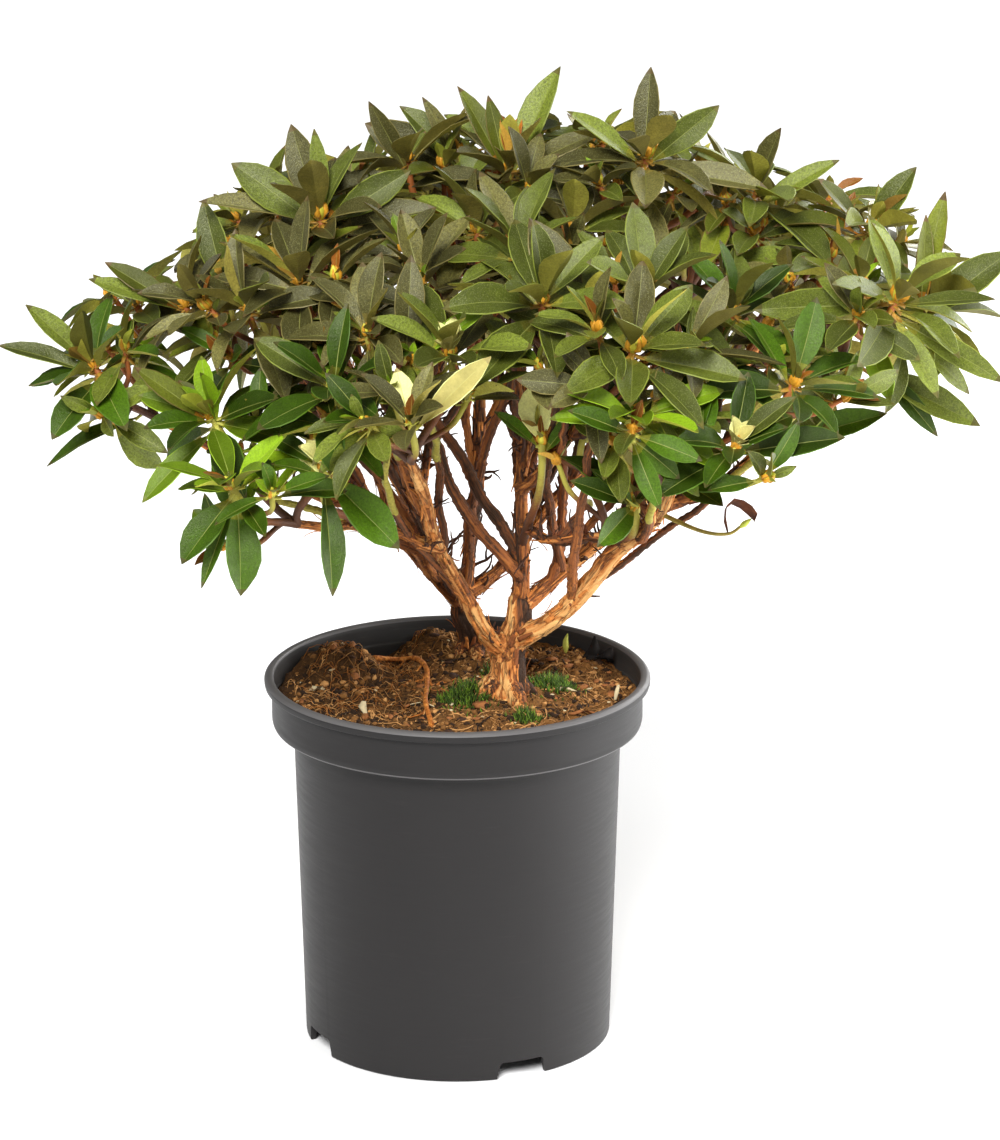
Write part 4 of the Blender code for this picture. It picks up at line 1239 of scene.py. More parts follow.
def on_peat(x, y, depth, rise=0.0):
    """The point on the peat's crumbly surface here, or this far above it."""
    return Vector((x, y, crumbly(x, y, depth) + rise))


def in_pot(rng, reach=SOIL_RADIUS - 0.004):
    """A random place on the peat."""
    angle = rng.uniform(0, math.tau)
    away = reach * math.sqrt(rng.random())
    return away * math.cos(angle), away * math.sin(angle)


def lump(base, size_of, flat, rng):
    """The corners and faces of a small uneven lump that lies here."""
    bm = bmesh.new()
    bmesh.ops.create_icosphere(bm, subdivisions=1, radius=1.0)
    turn = Matrix.Rotation(rng.uniform(0, math.tau), 3, "Z") @ Matrix.Rotation(rng.uniform(-0.5, 0.5), 3, "X")
    stretch = Vector((rng.uniform(0.8, 1.5), rng.uniform(0.6, 1.0), flat))
    points = []
    for vertex in bm.verts:
        point = vertex.co * rng.uniform(0.75, 1.2) * size_of
        points.append(base + turn @ Vector(a * b for a, b in zip(point, stretch)))
    faces = [[vertex.index for vertex in face.verts] for face in bm.faces]
    bm.free()
    return points, faces


def plain(name, base, roughness, spread=0.25, scale=300.0, depth=0.0003):
    """A finish of one colour with mottling and a fine bump."""
    made = Finish(name, roughness, Specular_IOR_Level=0.3)
    place = made.place()
    speckle = made.noise(place, scale, detail=4.0)
    made.paint(made.ramp(speckle, ((0.3, shade(base, 1 - spread)), (0.7, shade(base, 1 + spread)))))
    made.bump(made.noise(place, scale * 3, detail=3.0), depth, 0.6)
    return made.material


def plains(*rows):
    """A plain finish for each row: its name, its colour as a screen shows it and its other values."""
    return [plain(name, linear(*tint), *values) for name, tint, *values in rows]


# Larger loose bits on the peat: where each lies, its half widths, the steps of its middle from there, and its
# finish: pale, bark, dark bark, black or fresh.
LOOSE_BITS = (
    ((0.084, 0.044), (0.001, 0.004, 0.006, 0.001),
     ((-0.008, 0, 0.003), (-0.003, 0, 0.006), (0.002, 0, 0.004), (0.007, 0, 0.011)), 3),
    ((0.078, 0.050), (0.004, 0.003, 0.0005), ((0, 0, 0), (0.003, 0, 0.006), (0.003, 0, 0.013)), 3),
    ((0.064, 0.060), (0.0006, 0.0018, 0.0015, 0.0003),
     ((0, 0, 0), (0, 0, 0.004), (0, 0, 0.008), (0.001, 0, 0.012)), 4),
    ((-0.053, -0.027), (0.001, 0.0024, 0.0012),
     ((0, 0, 0.001), (-0.002, 0.002, 0.005), (-0.001, 0, 0.009)), 0),
    ((-0.082, 0.010), (0.0015, 0.003, 0.0015), ((-0.004, 0, 0.001), (0, 0, 0.004), (0.004, 0, 0.001)), 0),
    ((0.092, -0.016), (0.0007, 0.0013, 0.0007),
     ((0, 0, 0.001), (0.001, 0.002, 0.005), (0.002, 0.003, 0.009)), 0),
    ((0.062, -0.006), (0.001, 0.003, 0.002), ((-0.006, 0, 0.001), (0, 0.001, 0.004), (0.006, 0, 0.002)), 0),
    ((0.074, -0.040), (0.002, 0.003, 0.002), ((-0.008, 0, 0.001), (0, 0.001, 0.003), (0.008, 0, 0.001)), 1),
    ((-0.020, -0.020), (0.0008, 0.0014, 0.0008),
     ((-0.010, 0.003, 0.001), (0, 0, 0.004), (0.010, -0.003, 0.001)), 0),
)


class SHRUB_OT_litter(Step, bpy.types.Operator):
    """Strews crumbs, fibres, chips and moss on the peat, and lays the bare surface root"""

    bl_idname = "shrub.strew_litter"
    bl_label = "Strew the litter"

    def execute(self, context):
        settings = context.scene.shrub_peat
        rng = random.Random(31)
        crumbs = Heap("peat_crumbs")
        for _ in range(settings.crumbs):
            x, y = in_pot(rng)
            width = rng.uniform(0.0006, 0.0016) + 0.0016 * rng.random() ** 4
            crumb = lump(on_peat(x, y, settings.crumb), width, rng.uniform(0.5, 0.9), rng)
            crumbs.add(*crumb, rng.choice((0, 0, 1, 1, 2)))
        dark = plain("crumb_dark", settings.dark, 0.95)
        brown = plain("crumb_brown", settings.brown, 0.95)
        tan = plain("crumb_tan", settings.tan, 0.9)
        settle(crumbs.make((dark, brown, tan)), "peat")
        self.fibres(settings, rng, (dark, brown, tan))
        self.chips(settings, rng)
        self.moss(settings, rng)
        self.root(rng)
        return {"FINISHED"}

    def fibres(self, settings, rng, materials):
        """Loose fibres: more of them, thinner and tangled, on the mossy mound at the left."""
        rust = plain("fibre_rust", linear(150, 92, 38), 0.9)
        heap = Heap("peat_fibres")
        for number in range(settings.fibres):
            x, y = in_pot(rng, SOIL_RADIUS - 0.010)
            tangled = x < -0.02 and y > -0.03
            if number % 3 == 0 and not tangled:
                continue
            heading = rng.uniform(0, math.tau)
            step = rng.uniform(0.0010, 0.0030) if tangled else rng.uniform(0.0012, 0.0045)
            lift = rng.uniform(0.0, 0.0045) if tangled else rng.uniform(0.0, 0.0016)
            route = []
            for station in range(7):
                route.append(on_peat(x, y, settings.crumb, lift * math.sin(math.pi * station / 6)))
                heading += rng.uniform(-0.6, 0.6)
                x += step * math.cos(heading)
                y += step * math.sin(heading)
                if math.hypot(x, y) > SOIL_RADIUS - 0.002:
                    break
            if len(route) > 3:
                thick = rng.choice((0.00018, 0.00024) if tangled else (0.00020, 0.0003, 0.0005))
                look = rng.choice((1, 2, 3, 3) if tangled else (0, 1, 1, 2, 2))
                heap.add(*rod(route, [thick] * len(route), 3), look)
        settle(heap.make((*materials, rust)), "peat")

    def chips(self, settings, rng):
        heap = Heap("chips")
        for _ in range(settings.chips):
            x, y = in_pot(rng, SOIL_RADIUS - 0.008)
            pale = rng.random() < 0.45
            width = rng.uniform(0.0010, 0.0020) if pale else rng.uniform(0.002, 0.0045)
            chip = lump(on_peat(x, y, settings.crumb, 0.0006), width, 0.35, rng)
            heap.add(*chip, 0 if pale else rng.choice((1, 2)))
        for (x, y), wide, lean, look in LOOSE_BITS:
            route = [on_peat(x, y, settings.crumb) + Vector(step) for step in lean]
            heap.add(*ribbon(route, Vector((1, -0.2, 0)), Vector((0, -0.6, 0.8)), wide, 0.0006), look)
        settle(heap.make(plains(
            ("grit", (200, 184, 146), 0.8, 0.1), ("chip", (146, 92, 50), 0.85, 0.3),
            ("chip_dark", (62, 40, 26), 0.9, 0.3), ("black_scrap", (26, 22, 20), 0.9, 0.3),
            ("seed_bud", (186, 188, 84), 0.6, 0.2),
        )), "peat")

    def moss(self, settings, rng):
        heap = Heap("moss")
        whole = sum(spread ** 2 for _, spread in MOSS_TUFTS)
        for (middle_x, middle_y), spread in MOSS_TUFTS:
            for _ in range(round(settings.moss * spread ** 2 / whole)):
                angle = rng.uniform(0, math.tau)
                away = spread * math.sqrt(rng.random()) * (1.0 if rng.random() < 0.85 else 1.6)
                x = middle_x + away * math.cos(angle)
                y = middle_y + away * math.sin(angle)
                tall = rng.uniform(0.005, 0.012) * max(0.4, 1.15 - away / spread * 0.7)
                lean = Vector((rng.uniform(-0.5, 0.5), rng.uniform(-0.5, 0.5), 1.0)).normalized()
                foot = on_peat(x, y, settings.crumb, -0.0005)
                bow = Vector((rng.uniform(-0.001, 0.001), rng.uniform(-0.001, 0.001), 0.0))
                route = [foot, foot + lean * tall * 0.5 + bow, foot + lean * tall]
                heap.add(*rod(route, (0.00048, 0.00042, 0.00006), 3), rng.choice((0, 0, 1)))
        settle(heap.make(plains(
            ("moss_deep", (52, 74, 14), 0.8, 0.3), ("moss_fresh", (96, 124, 28), 0.75, 0.3),
        )), "peat")

    def root(self, rng):
        route = [Vector((x, y, soil_height(x, y) + rise)) for x, y, rise in SURFACE_ROOT]
        route, _ = rounded_route(crooked(route, rng, 0.0012), 0.0015)
        radii = [0.0015 + 0.0005 * noise.noise(point * 160.0) for point in route]
        heap = Heap("surface_root")
        heap.add(*rod(route, radii, 10))
        for _ in range(9):
            start = rng.randrange(4, len(route) - 8)
            heading = Vector((rng.choice((-1, 1)), rng.uniform(-0.6, 0.6), 0.0)).normalized()
            branch = [route[start]]
            for _ in range(6):
                heading = (heading + Vector((rng.uniform(-0.4, 0.4), rng.uniform(-0.4, 0.4), 0))).normalized()
                spot = branch[-1] + heading * rng.uniform(0.002, 0.004)
                branch.append(on_peat(spot.x, spot.y, 0.0016, 0.0006))
            heap.add(*rod(branch, (0.0007, 0.0006, 0.0006, 0.0005, 0.0005, 0.0004, 0.0003), 5))
        made = Finish("root_bark", 0.75, Specular_IOR_Level=0.3)
        place = made.place()
        streaks = made.noise(place, 420.0, detail=5.0)
        made.paint(made.ramp(streaks, (
            (0.35, linear(120, 62, 22)), (0.55, linear(186, 112, 42)), (0.7, linear(216, 150, 74)),
        )))
        made.bump(streaks, 0.0006, 0.7)
        settle(heap.make((made.material,)), "bark")


class Strand:
    """One limb as it looks: a fine route with swellings, run on into the stem of the mass it carries."""

    def __init__(self, name, limb, mass, seed):
        self.name, self.seed = name, seed
        self.freshness, wood = BARK.get(name, USUAL_BARK)
        route, radii = list(limb.route), list(limb.radii)
        if mass:
            route.append(mass.hub)
            radii.append(mass.stem_radius * 0.85)
        self.route, stations = rounded_route(route)
        self.frames = frames_along(self.route, ways_along(self.route))
        self.radii = []
        for point, station in zip(self.route, stations):
            index = min(int(station), len(radii) - 2)
            even = radii[index] + (radii[index + 1] - radii[index]) * (station - index)
            knobs = noise.noise(point * 70.0 + Vector((seed, 0, 0)))
            share = 1.0 + (wood - 1.0) * min(1.0, len(self.radii) / 10)
            self.radii.append(even * share * (0.92 + 0.14 * knobs))


def strands():
    """All the limbs as they look."""
    grown = plant()
    carried = {bough: grown.masses[mass] for mass, bough in grown.carriers.items()}
    limbs = enumerate(grown.limbs.items())
    return [Strand(name, limb, carried.get(name), 7.0 * index) for index, (name, limb) in limbs]


def root_toes(limb, rng):
    """Short ridges that spread from the foot of a stem into the peat."""
    toes = []
    foot = limb.route[0]
    for toe in range(5):
        angle = math.tau * toe / 5 + rng.uniform(-0.3, 0.3)
        out = circled(angle)
        reach = limb.radii[0] * rng.uniform(1.15, 1.5)
        start = foot + Vector((0, 0, 0.016)) + out * limb.radii[0] * 0.25
        middle = foot + out * reach * 0.7 + Vector((0, 0, 0.006))
        end = foot + out * reach + Vector((0, 0, 0.001))
        toes.append(([start, middle, end], [limb.radii[0] * share for share in (0.42, 0.36, 0.22)]))
    return toes


def skin_of(members, voxel):
    """One closed skin over all the limbs, their forks run together."""
    heap = Heap("wood")
    for strand in members:
        heap.add(*rod(strand.route, strand.radii, ROUND_SIDES))
    rng = random.Random(5)
    for name, *_ in STEMS:
        for route, radii in root_toes(plant().limbs[name], rng):
            fine = rounded_route(route)[0]
            heap.add(*rod(fine, np.interp(np.linspace(0, 2, len(fine)), (0, 1, 2), radii), ROUND_SIDES))
    wood = heap.make(())
    remesh = wood.modifiers.new("Skin", "REMESH")
    remesh.mode = "VOXEL"
    remesh.voxel_size = voxel
    remesh.use_smooth_shade = True
    ease = wood.modifiers.new("Ease", "SMOOTH")
    ease.factor = 0.5
    ease.iterations = 3
    graph = bpy.context.evaluated_depsgraph_get()
    mesh = bpy.data.meshes.new_from_object(wood.evaluated_get(graph))
    bpy.data.objects.remove(wood)
    return mesh


def relief(mesh, members, plate_depth, crack_depth):
    """Raises the bark's plates along the limbs, and keeps for each point its grain and how fresh it is."""
    stations = [(strand, index) for strand in members for index in range(len(strand.route))]
    radii = [strand.radii[index] for strand, index in stations]
    tree = KDTree(len(stations))
    for number, (strand, index) in enumerate(stations):
        tree.insert(strand.route[index], number)
    tree.balance()
    total = len(mesh.vertices)
    grain, moved = np.zeros((2, total, 3), np.float32)
    fresh = np.zeros(total, np.float32)
    for number, vertex in enumerate(mesh.vertices):
        nearest = min(tree.find_n(vertex.co, 5), key=lambda found: found[2] - radii[found[1]])
        strand, station = stations[nearest[1]]
        spot = strand.frames[station].inverted_safe() @ vertex.co
        spot.z = spot.z + station * FINE_STEP + strand.seed
        sway = noise.noise(spot * 70.0) * 1.6
        across = PLATES_ACROSS
        streaked = Vector((spot.x * across + sway, spot.y * across - sway, spot.z * PLATES_ALONG))
        (near, second, *_), (cell, *_) = noise.voronoi(streaked)
        edge = min(1.0, (second - near) / 0.20)
        plate = noise.cell(cell * 7.3) * 0.5 + 0.5
        fine = noise.fractal(streaked * 2.4, 0.9, 2.1, 3)
        depth = plate_depth * (plate - 0.5) - crack_depth * (1 - edge) ** 2 + 0.0003 * fine
        moved[number] = vertex.normal * depth * min(1.0, strand.radii[station] / THICK_WOOD)
        grain[number] = spot
        aged = strand.freshness
        # On the trunk, the bark runs towards the old, darker colours on the side that faces +X and towards
        # the fresh orange on the side that faces -X.
        if strand.name == "trunk":
            aged -= 0.5 * max(-0.4, min(1.0, vertex.normal.x * 1.6))
        aged += 0.30 * noise.noise(vertex.co * 45.0)
        fresh[number] = aged + 0.40 * (plate - 0.5) - 0.26 * (1 - edge)
    flat = np.zeros(total * 3, np.float32)
    mesh.vertices.foreach_get("co", flat)
    mesh.vertices.foreach_set("co", flat + moved.ravel())
    mesh.attributes.new("grain", "FLOAT_VECTOR", "POINT").data.foreach_set("vector", grain.ravel())
    mesh.attributes.new("fresh", "FLOAT", "POINT").data.foreach_set("value", fresh)
    mesh.update()


def bark_finish(settings):
    """Peeling bark, orange where it is fresh and grey where it is old, with dark lines lengthwise."""
    made = Finish("bark", 0.78, Specular_IOR_Level=0.3)
    grain = made.place("grain", (1.0, 1.0, 0.05))
    streaks = made.noise(grain, 800.0, detail=4.0, roughness=0.6, sway=0.5)
    broad = made.noise(grain, 280.0, detail=3.0, sway=0.7)
    fresh = made.attribute("fresh").outputs["Fac"]
    level = made.math("ADD", fresh, made.swing(streaks, 0.8))
    level = made.math("ADD", level, made.swing(broad, 0.6))
    base = made.ramp(level, (
        (0.0, shade(settings.old, 0.45)), (0.18, settings.old), (0.38, settings.red),
        (0.60, settings.tan), (0.95, settings.pale),
    ))
    lines = made.math("ABSOLUTE", made.math("SUBTRACT", broad, 0.47), 0.0)
    cracked = made.ramp(lines, ((0.0, 1.0), (0.030, 0.0)))
    made.paint(made.mix(made.times(cracked, 0.75), base, shade(settings.old, 0.7)))
    made.bump(made.math("SUBTRACT", streaks, made.times(cracked, 0.6)), 0.0014, 0.9)
    return made.material


class SHRUB_OT_wood(Step, bpy.types.Operator):
    """Grows the trunk, the rear stem and all boughs as one skin with the relief of peeling bark"""

    bl_idname = "shrub.grow_wood"
    bl_label = "Grow the wood"

    def execute(self, context):
        settings = context.scene.shrub_bark
        finish = bark_finish(settings)
        for piece, members in self.halves():
            mesh = skin_of(members, settings.voxel)
            relief(mesh, members, settings.plate, settings.crack)
            settle(link(piece, mesh, (finish,)), "bark", *(strand.name for strand in members))
        settle(self.slender_stems(finish), "bark")
        return {"FINISHED"}

    def halves(self):
        """The limbs that grow from the trunk, and those that grow from the stem behind it."""
        parents = {name: parent for name, parent, *_ in BOUGHS}
        grouped = {name: [] for name, *_ in STEMS}
        for strand in strands():
            root = strand.name
            while root in parents:
                root = parents[root]
            grouped[root].append(strand)
        return [("wood_of_" + root, members) for root, members in grouped.items()]

    def slender_stems(self, finish):
        """The thinner stems beside the boughs, knobbly and flaky, with the bark's grain along each."""
        heap = Heap("slender_stems", "grain", "fresh")
        rng = random.Random(19)
        for number, (stem, green) in enumerate(plant().slender):
            route, stations = rounded_route(stem.route)
            even = np.interp(stations, range(len(stem.radii)), stem.radii)
            radii = [radius * rng.uniform(0.86, 1.16) for radius in even]
            points, faces = rod(route, radii, 8)
            angles = [math.tau * side / 8 for side in range(8)]
            grain = [
                (radius * math.cos(angle), radius * math.sin(angle), index * FINE_STEP + number)
                for index, radius in enumerate(radii) for angle in angles
            ]
            points = [point + jitter(rng, 0.00016) for point in points]
            fresh = np.repeat(np.linspace(rng.uniform(0.12, 0.55), 0.22, len(route)), 8)
            looks = [int(green and index > 0.55 * len(faces)) for index in range(len(faces))]
            heap.add(points, faces, looks, grain=grain, fresh=fresh)
        return heap.make((finish, *plains(("green_stem", (158, 148, 60), 0.6, 0.35, 500.0))))


def ribbon(middles, across, out, halves, thickness):
    """The corners and faces of a flat strip that follows these points, this half wide at each."""
    points = []
    for middle, half in zip(middles, halves):
        for side, over in ((-1, 0), (1, 0), (1, 1), (-1, 1)):
            points.append(middle + across * half * side + out * thickness * over)
    faces = [(0, 1, 2, 3)]
    for first in range(0, 4 * (len(middles) - 1), 4):
        for side in range(4):
            following = (side + 1) % 4
            faces.append((first + side, first + side + 4, first + following + 4, first + following))
    last = len(points) - 1
    faces.append((last, last - 1, last - 2, last - 3))
    return points, faces


def strip(start, along, out, length, width, curl):
    """A curled strip of bark that lifts off at its far end."""
    shares = [station / 5 for station in range(6)]
    middles = [
        start + along * length * share * (1 - 0.25 * curl * share) + out * curl * length * share ** 2
        for share in shares
    ]
    halves = [width / 2 * (1.0 - 0.55 * share ** 2) for share in shares]
    return ribbon(middles, along.cross(out).normalized(), out, halves, 0.00028)


class SHRUB_OT_flakes(Step, bpy.types.Operator):
    """Lifts curled flakes of bark off the trunk and boughs"""

    bl_idname = "shrub.peel_bark"
    bl_label = "Peel the bark"

    def execute(self, context):
        settings = context.scene.shrub_bark
        rng = random.Random(47)
        all_strands = strands()
        weights = [len(strand.route) * strand.radii[0] for strand in all_strands]
        heap = Heap("bark_flakes")
        for strand in rng.choices(all_strands, weights, k=settings.flakes):
            station = rng.randrange(2, len(strand.route) - 8)
            place = strand.frames[station]
            out = (place.to_3x3() @ circled(rng.uniform(0, math.tau))).normalized()
            along = (place.to_3x3() @ Vector((0, 0, rng.choice((-1, 1))))).normalized()
            start = place.translation + out * (strand.radii[station] * 0.99 - 0.0001)
            width = rng.uniform(0.0012, 0.0032) * min(1.0, strand.radii[station] / THICK_WOOD)
            flake = strip(start, along, out, rng.uniform(0.004, 0.013), width, rng.uniform(0.05, 0.42))
            heap.add(*flake, 0 if rng.random() < 0.25 + 0.6 * strand.freshness else 1)
        light = plain("flake_tan", settings.tan, 0.8, 0.35)
        dark = plain("flake_red", shade(settings.red, 0.8), 0.85, 0.35)
        settle(heap.make((light, dark)), "bark")
        return {"FINISHED"}


def grown_twig(route, thick, thin, rng):
    """A twig's radii, with slight swellings where leaves once stood."""
    last = len(route) - 1
    even = [thick + (thin - thick) * index / last for index in range(last + 1)]
    return [radius + rng.uniform(-0.00012, 0.00018) for radius in even]


def shoot_finish(name, tip):
    """Young wood: brown at its foot, running into the colour of this year's growth."""
    made = Finish(name, 0.6, Specular_IOR_Level=0.35)
    youth = made.attribute("youth").outputs["Fac"]
    place = made.place()
    mottle = made.swing(made.noise(place, 700.0, detail=4.0), 0.5)
    made.paint(made.ramp(made.math("ADD", youth, mottle), (
        (0.1, linear(82, 52, 34)), (0.45, linear(124, 74, 40)), (0.85, tip),
    )))
    made.bump(made.noise(place, 1300.0, detail=3.0), 0.0003, 0.6)
    return made.material


class SHRUB_OT_twigs(Step, bpy.types.Operator):
    """Grows the twigs that fan out from the stem of each mass, and a bud at the end of each"""

    bl_idname = "shrub.grow_twigs"
    bl_label = "Grow the twigs"

    def execute(self, context):
        rng = random.Random(59)
        twigs = Heap("twigs", "youth")
        buds = Heap("buds")
        for whorl, route, thick, thin in plant().twigs:
            run = route + [whorl.tip]
            twig = rod(run, grown_twig(run, thick, thin, rng), TWIG_ROUND)
            youth = np.repeat(np.linspace(-0.1, 1.0, len(run)), TWIG_ROUND)
            green = whorl.mass.name in GREEN_TWIGS or rng.random() < 0.15
            twigs.add(*twig, int(green), youth=youth)
            self.bud(buds, whorl, rng)
        red = shoot_finish("shoot_red", linear(156, 88, 36))
        green = shoot_finish("shoot_green", linear(172, 164, 66))
        settle(twigs.make((red, green)), "bark", *plant().foliage)
        settle(buds.make(plains(
            ("bud_yellow", (206, 198, 66), 0.45, 0.2), ("bud_orange", (200, 142, 38), 0.5, 0.3),
        )), "foliage")
        return {"FINISHED"}

    def bud(self, heap, whorl, rng):
        """A pointed bud on the tip of a twig, with a few scales that hug it."""
        swell = 1.7 if whorl.accent == "bud" else rng.uniform(0.75, 1.2)
        across = whorl.way.orthogonal().normalized()
        shares = (-0.1, 0.12, 0.3, 0.5, 0.7, 0.88, 1.0)
        route = [whorl.tip + whorl.way * BUD_LENGTH * swell * share for share in shares]
        radii = [BUD_RADIUS * swell * share for share in (0.45, 0.75, 0.92, 0.85, 0.62, 0.3, 0.06)]
        heap.add(*rod(route, radii, 9), 0 if whorl.accent == "bud" or rng.random() < 0.5 else 1)
        for scale in range(4):
            out = Matrix.Rotation(math.radians(GOLDEN_TURN * scale + whorl.turn), 3, whorl.way) @ across
            hug = [whorl.tip - whorl.way * 0.0015]
            for share, bulge in ((0.25, 0.95), (0.5, 0.92), (0.75, 0.62), (0.95, 0.42)):
                share *= rng.uniform(0.8, 1.05)
                hug.append(whorl.tip + (whorl.way * BUD_LENGTH * share + out * BUD_RADIUS * bulge) * swell)
            heap.add(*rod(hug, (0.0008 * swell, 0.0011 * swell, 0.0011 * swell, 0.0008, 0.0002), 5), 1)


BLADE_STATIONS = (0.0, 0.07, 0.20, 0.35, 0.50, 0.65, 0.80, 0.93, 1.0)
# Places round a blade as shares of its half width, over the midrib's two edges and back under it.
BLADE_ROUND = (-1.0, -0.93, 0.0, 0.0, 0.93, 1.0, 0.0)
RING = len(BLADE_ROUND)
UPPER, LOW, RIB, MARGIN, UNDER, BASE, TIP = range(7)
LOOKS_ROUND = (MARGIN, UPPER, RIB, UPPER, MARGIN, UNDER, UNDER)
RIB_WIDTH = 0.00024
BLADE_THICKNESS = 0.0008


def blade_faces():
    """The faces of a leaf's blade, ring after ring of corners from base to tip, and the finish of each."""
    faces = []
    looks = []
    last = len(BLADE_STATIONS) - 1
    for station in range(last):
        for corner, look in enumerate(LOOKS_ROUND):
            first, second = station * RING + corner, station * RING + (corner + 1) % RING
            face = (first, second, second + RING, first + RING)
            faces.append(face[1:] + face[:1] if look == UNDER else face)
            if station in (0, 1) and look == UPPER:
                look = (BASE, LOW)[station]
            looks.append(TIP if station == last - 1 and look != UNDER else look)
    faces.append(tuple(range(RING - 1, -1, -1)))
    faces.append(tuple(range(last * RING, (last + 1) * RING)))
    return faces, looks + [BASE, TIP]


BLADE_FACES, BLADE_LOOKS = blade_faces()


def blade(length, width, arch, fold, twist, wave, phase):
    """The corners of a leaf along +Y, its face to +Z: two halves folded up, arched, twisted and waved."""
    points = []
    along = height = before = 0.0
    for station in BLADE_STATIONS:
        step = (station - before) * length
        slope = arch * (0.35 - station)
        along += step * math.cos(slope)
        height += step * math.sin(slope)
        before = station
        swell = 4.5 * station ** 1.25 * (1 - station) ** 0.95
        half = max(0.0009 if station < 0.5 else 0.0003, width * length / 2 * swell)
        turn = twist * (station - 0.3)
        rise = fold * (1 - 0.35 * station)
        rib = RIB_WIDTH * (1.25 - station)
        for place, share in enumerate(BLADE_ROUND):
            edge = half * share if share else (-rib, rib, 0.0)[(2, 3, 6).index(place)]
            out = abs(share)
            lift = rise * half * out * (1 - 0.45 * out) - 0.04 * half * (out == 1.0)
            lift += wave * half * out * math.sin(9.0 * station + phase + (share > 0) * 1.3)
            if place == RING - 1:
                lift = -BLADE_THICKNESS * min(1.0, half / 0.002)
            x = edge * math.cos(turn) - lift * math.sin(turn)
            z = edge * math.sin(turn) + lift * math.cos(turn)
            points.append((x, along, height + z))
    return np.array(points)


def leaf_pose(whorl, order, lift, turn, share):
    """Where the leaf with this place in the whorl is rooted, its two ways and its length."""
    place = order / (whorl.leaves - 1)
    low = max(0.0, min(1.0, (DROOP_BELOW - whorl.tip.z) / DROOP_DEPTH))
    pitch = LOWEST_PITCH - DROOP * low + (HIGHEST_PITCH - LOWEST_PITCH) * place ** PITCH_POWER + lift
    azimuth = math.radians(whorl.turn + GOLDEN_TURN * order + turn)
    way, face = turned(whorl.way, azimuth, math.radians(pitch))
    root = whorl.tip - whorl.way * WHORL_LENGTH * (1.0 - place) * ROOT_CLUSTER
    length = LEAF_LENGTH * whorl.size * (1.0 - (1.0 - INNER_LEAF) * place) * share
    return root, way, face, length


def plain_leaf(root, way, face, length, width):
    """A search tree of a simple blade, to test that a leaf stays clear."""
    across = way.cross(face).normalized() * length * width / 2
    ends = [root + way * length * share for share in (0.18, 0.5, 0.78)]
    points = [root + way * 0.004, root + way * length]
    points += [end + across for end in ends] + [end - across for end in ends]
    faces = ((0, 2, 5), (2, 3, 6), (2, 6, 5), (3, 4, 7), (3, 7, 6), (4, 1, 7))
    return BVHTree.FromPolygons(points, faces)


def leaf_finish(name, base, roughness, speckle, mottle):
    """A leathery leaf: each a little lighter or darker, with mottling, pale scaly specks and a sheen."""
    made = Finish(name, roughness, Specular_IOR_Level=0.30 + speckle / 2, Specular_Tint=(1.0, 1.0, 0.75, 1.0))
    place = made.place()
    broad = made.noise(place, 60.0, detail=3.0)
    fine = made.noise(place, 800.0, detail=4.0, roughness=0.7)
    specks = made.ramp(made.cells(place, 1200.0), ((0.14, 1.0), (0.34, 0.0)))
    level = made.math("ADD", made.attribute("tone").outputs["Fac"], made.times(broad, 0.6))
    tone = made.ramp(level, ((0.15, shade(base, 0.42)), (0.5, base), (0.92, shade(base, 2.4))))
    tone = made.mix(made.ramp(fine, ((0.38, 0.0), (0.66, mottle))), tone, shade(base, 0.42))
    made.paint(made.mix(made.times(specks, speckle), tone, linear(176, 178, 120)))
    made.gloss(fine, roughness - 0.10, roughness + 0.12)
    made.bump(fine, 0.0005, 0.75)
    return made.material


def blend(first, second, share):
    """A colour this far from the first to the second."""
    return tuple(a + (b - a) * share for a, b in zip(first, second))


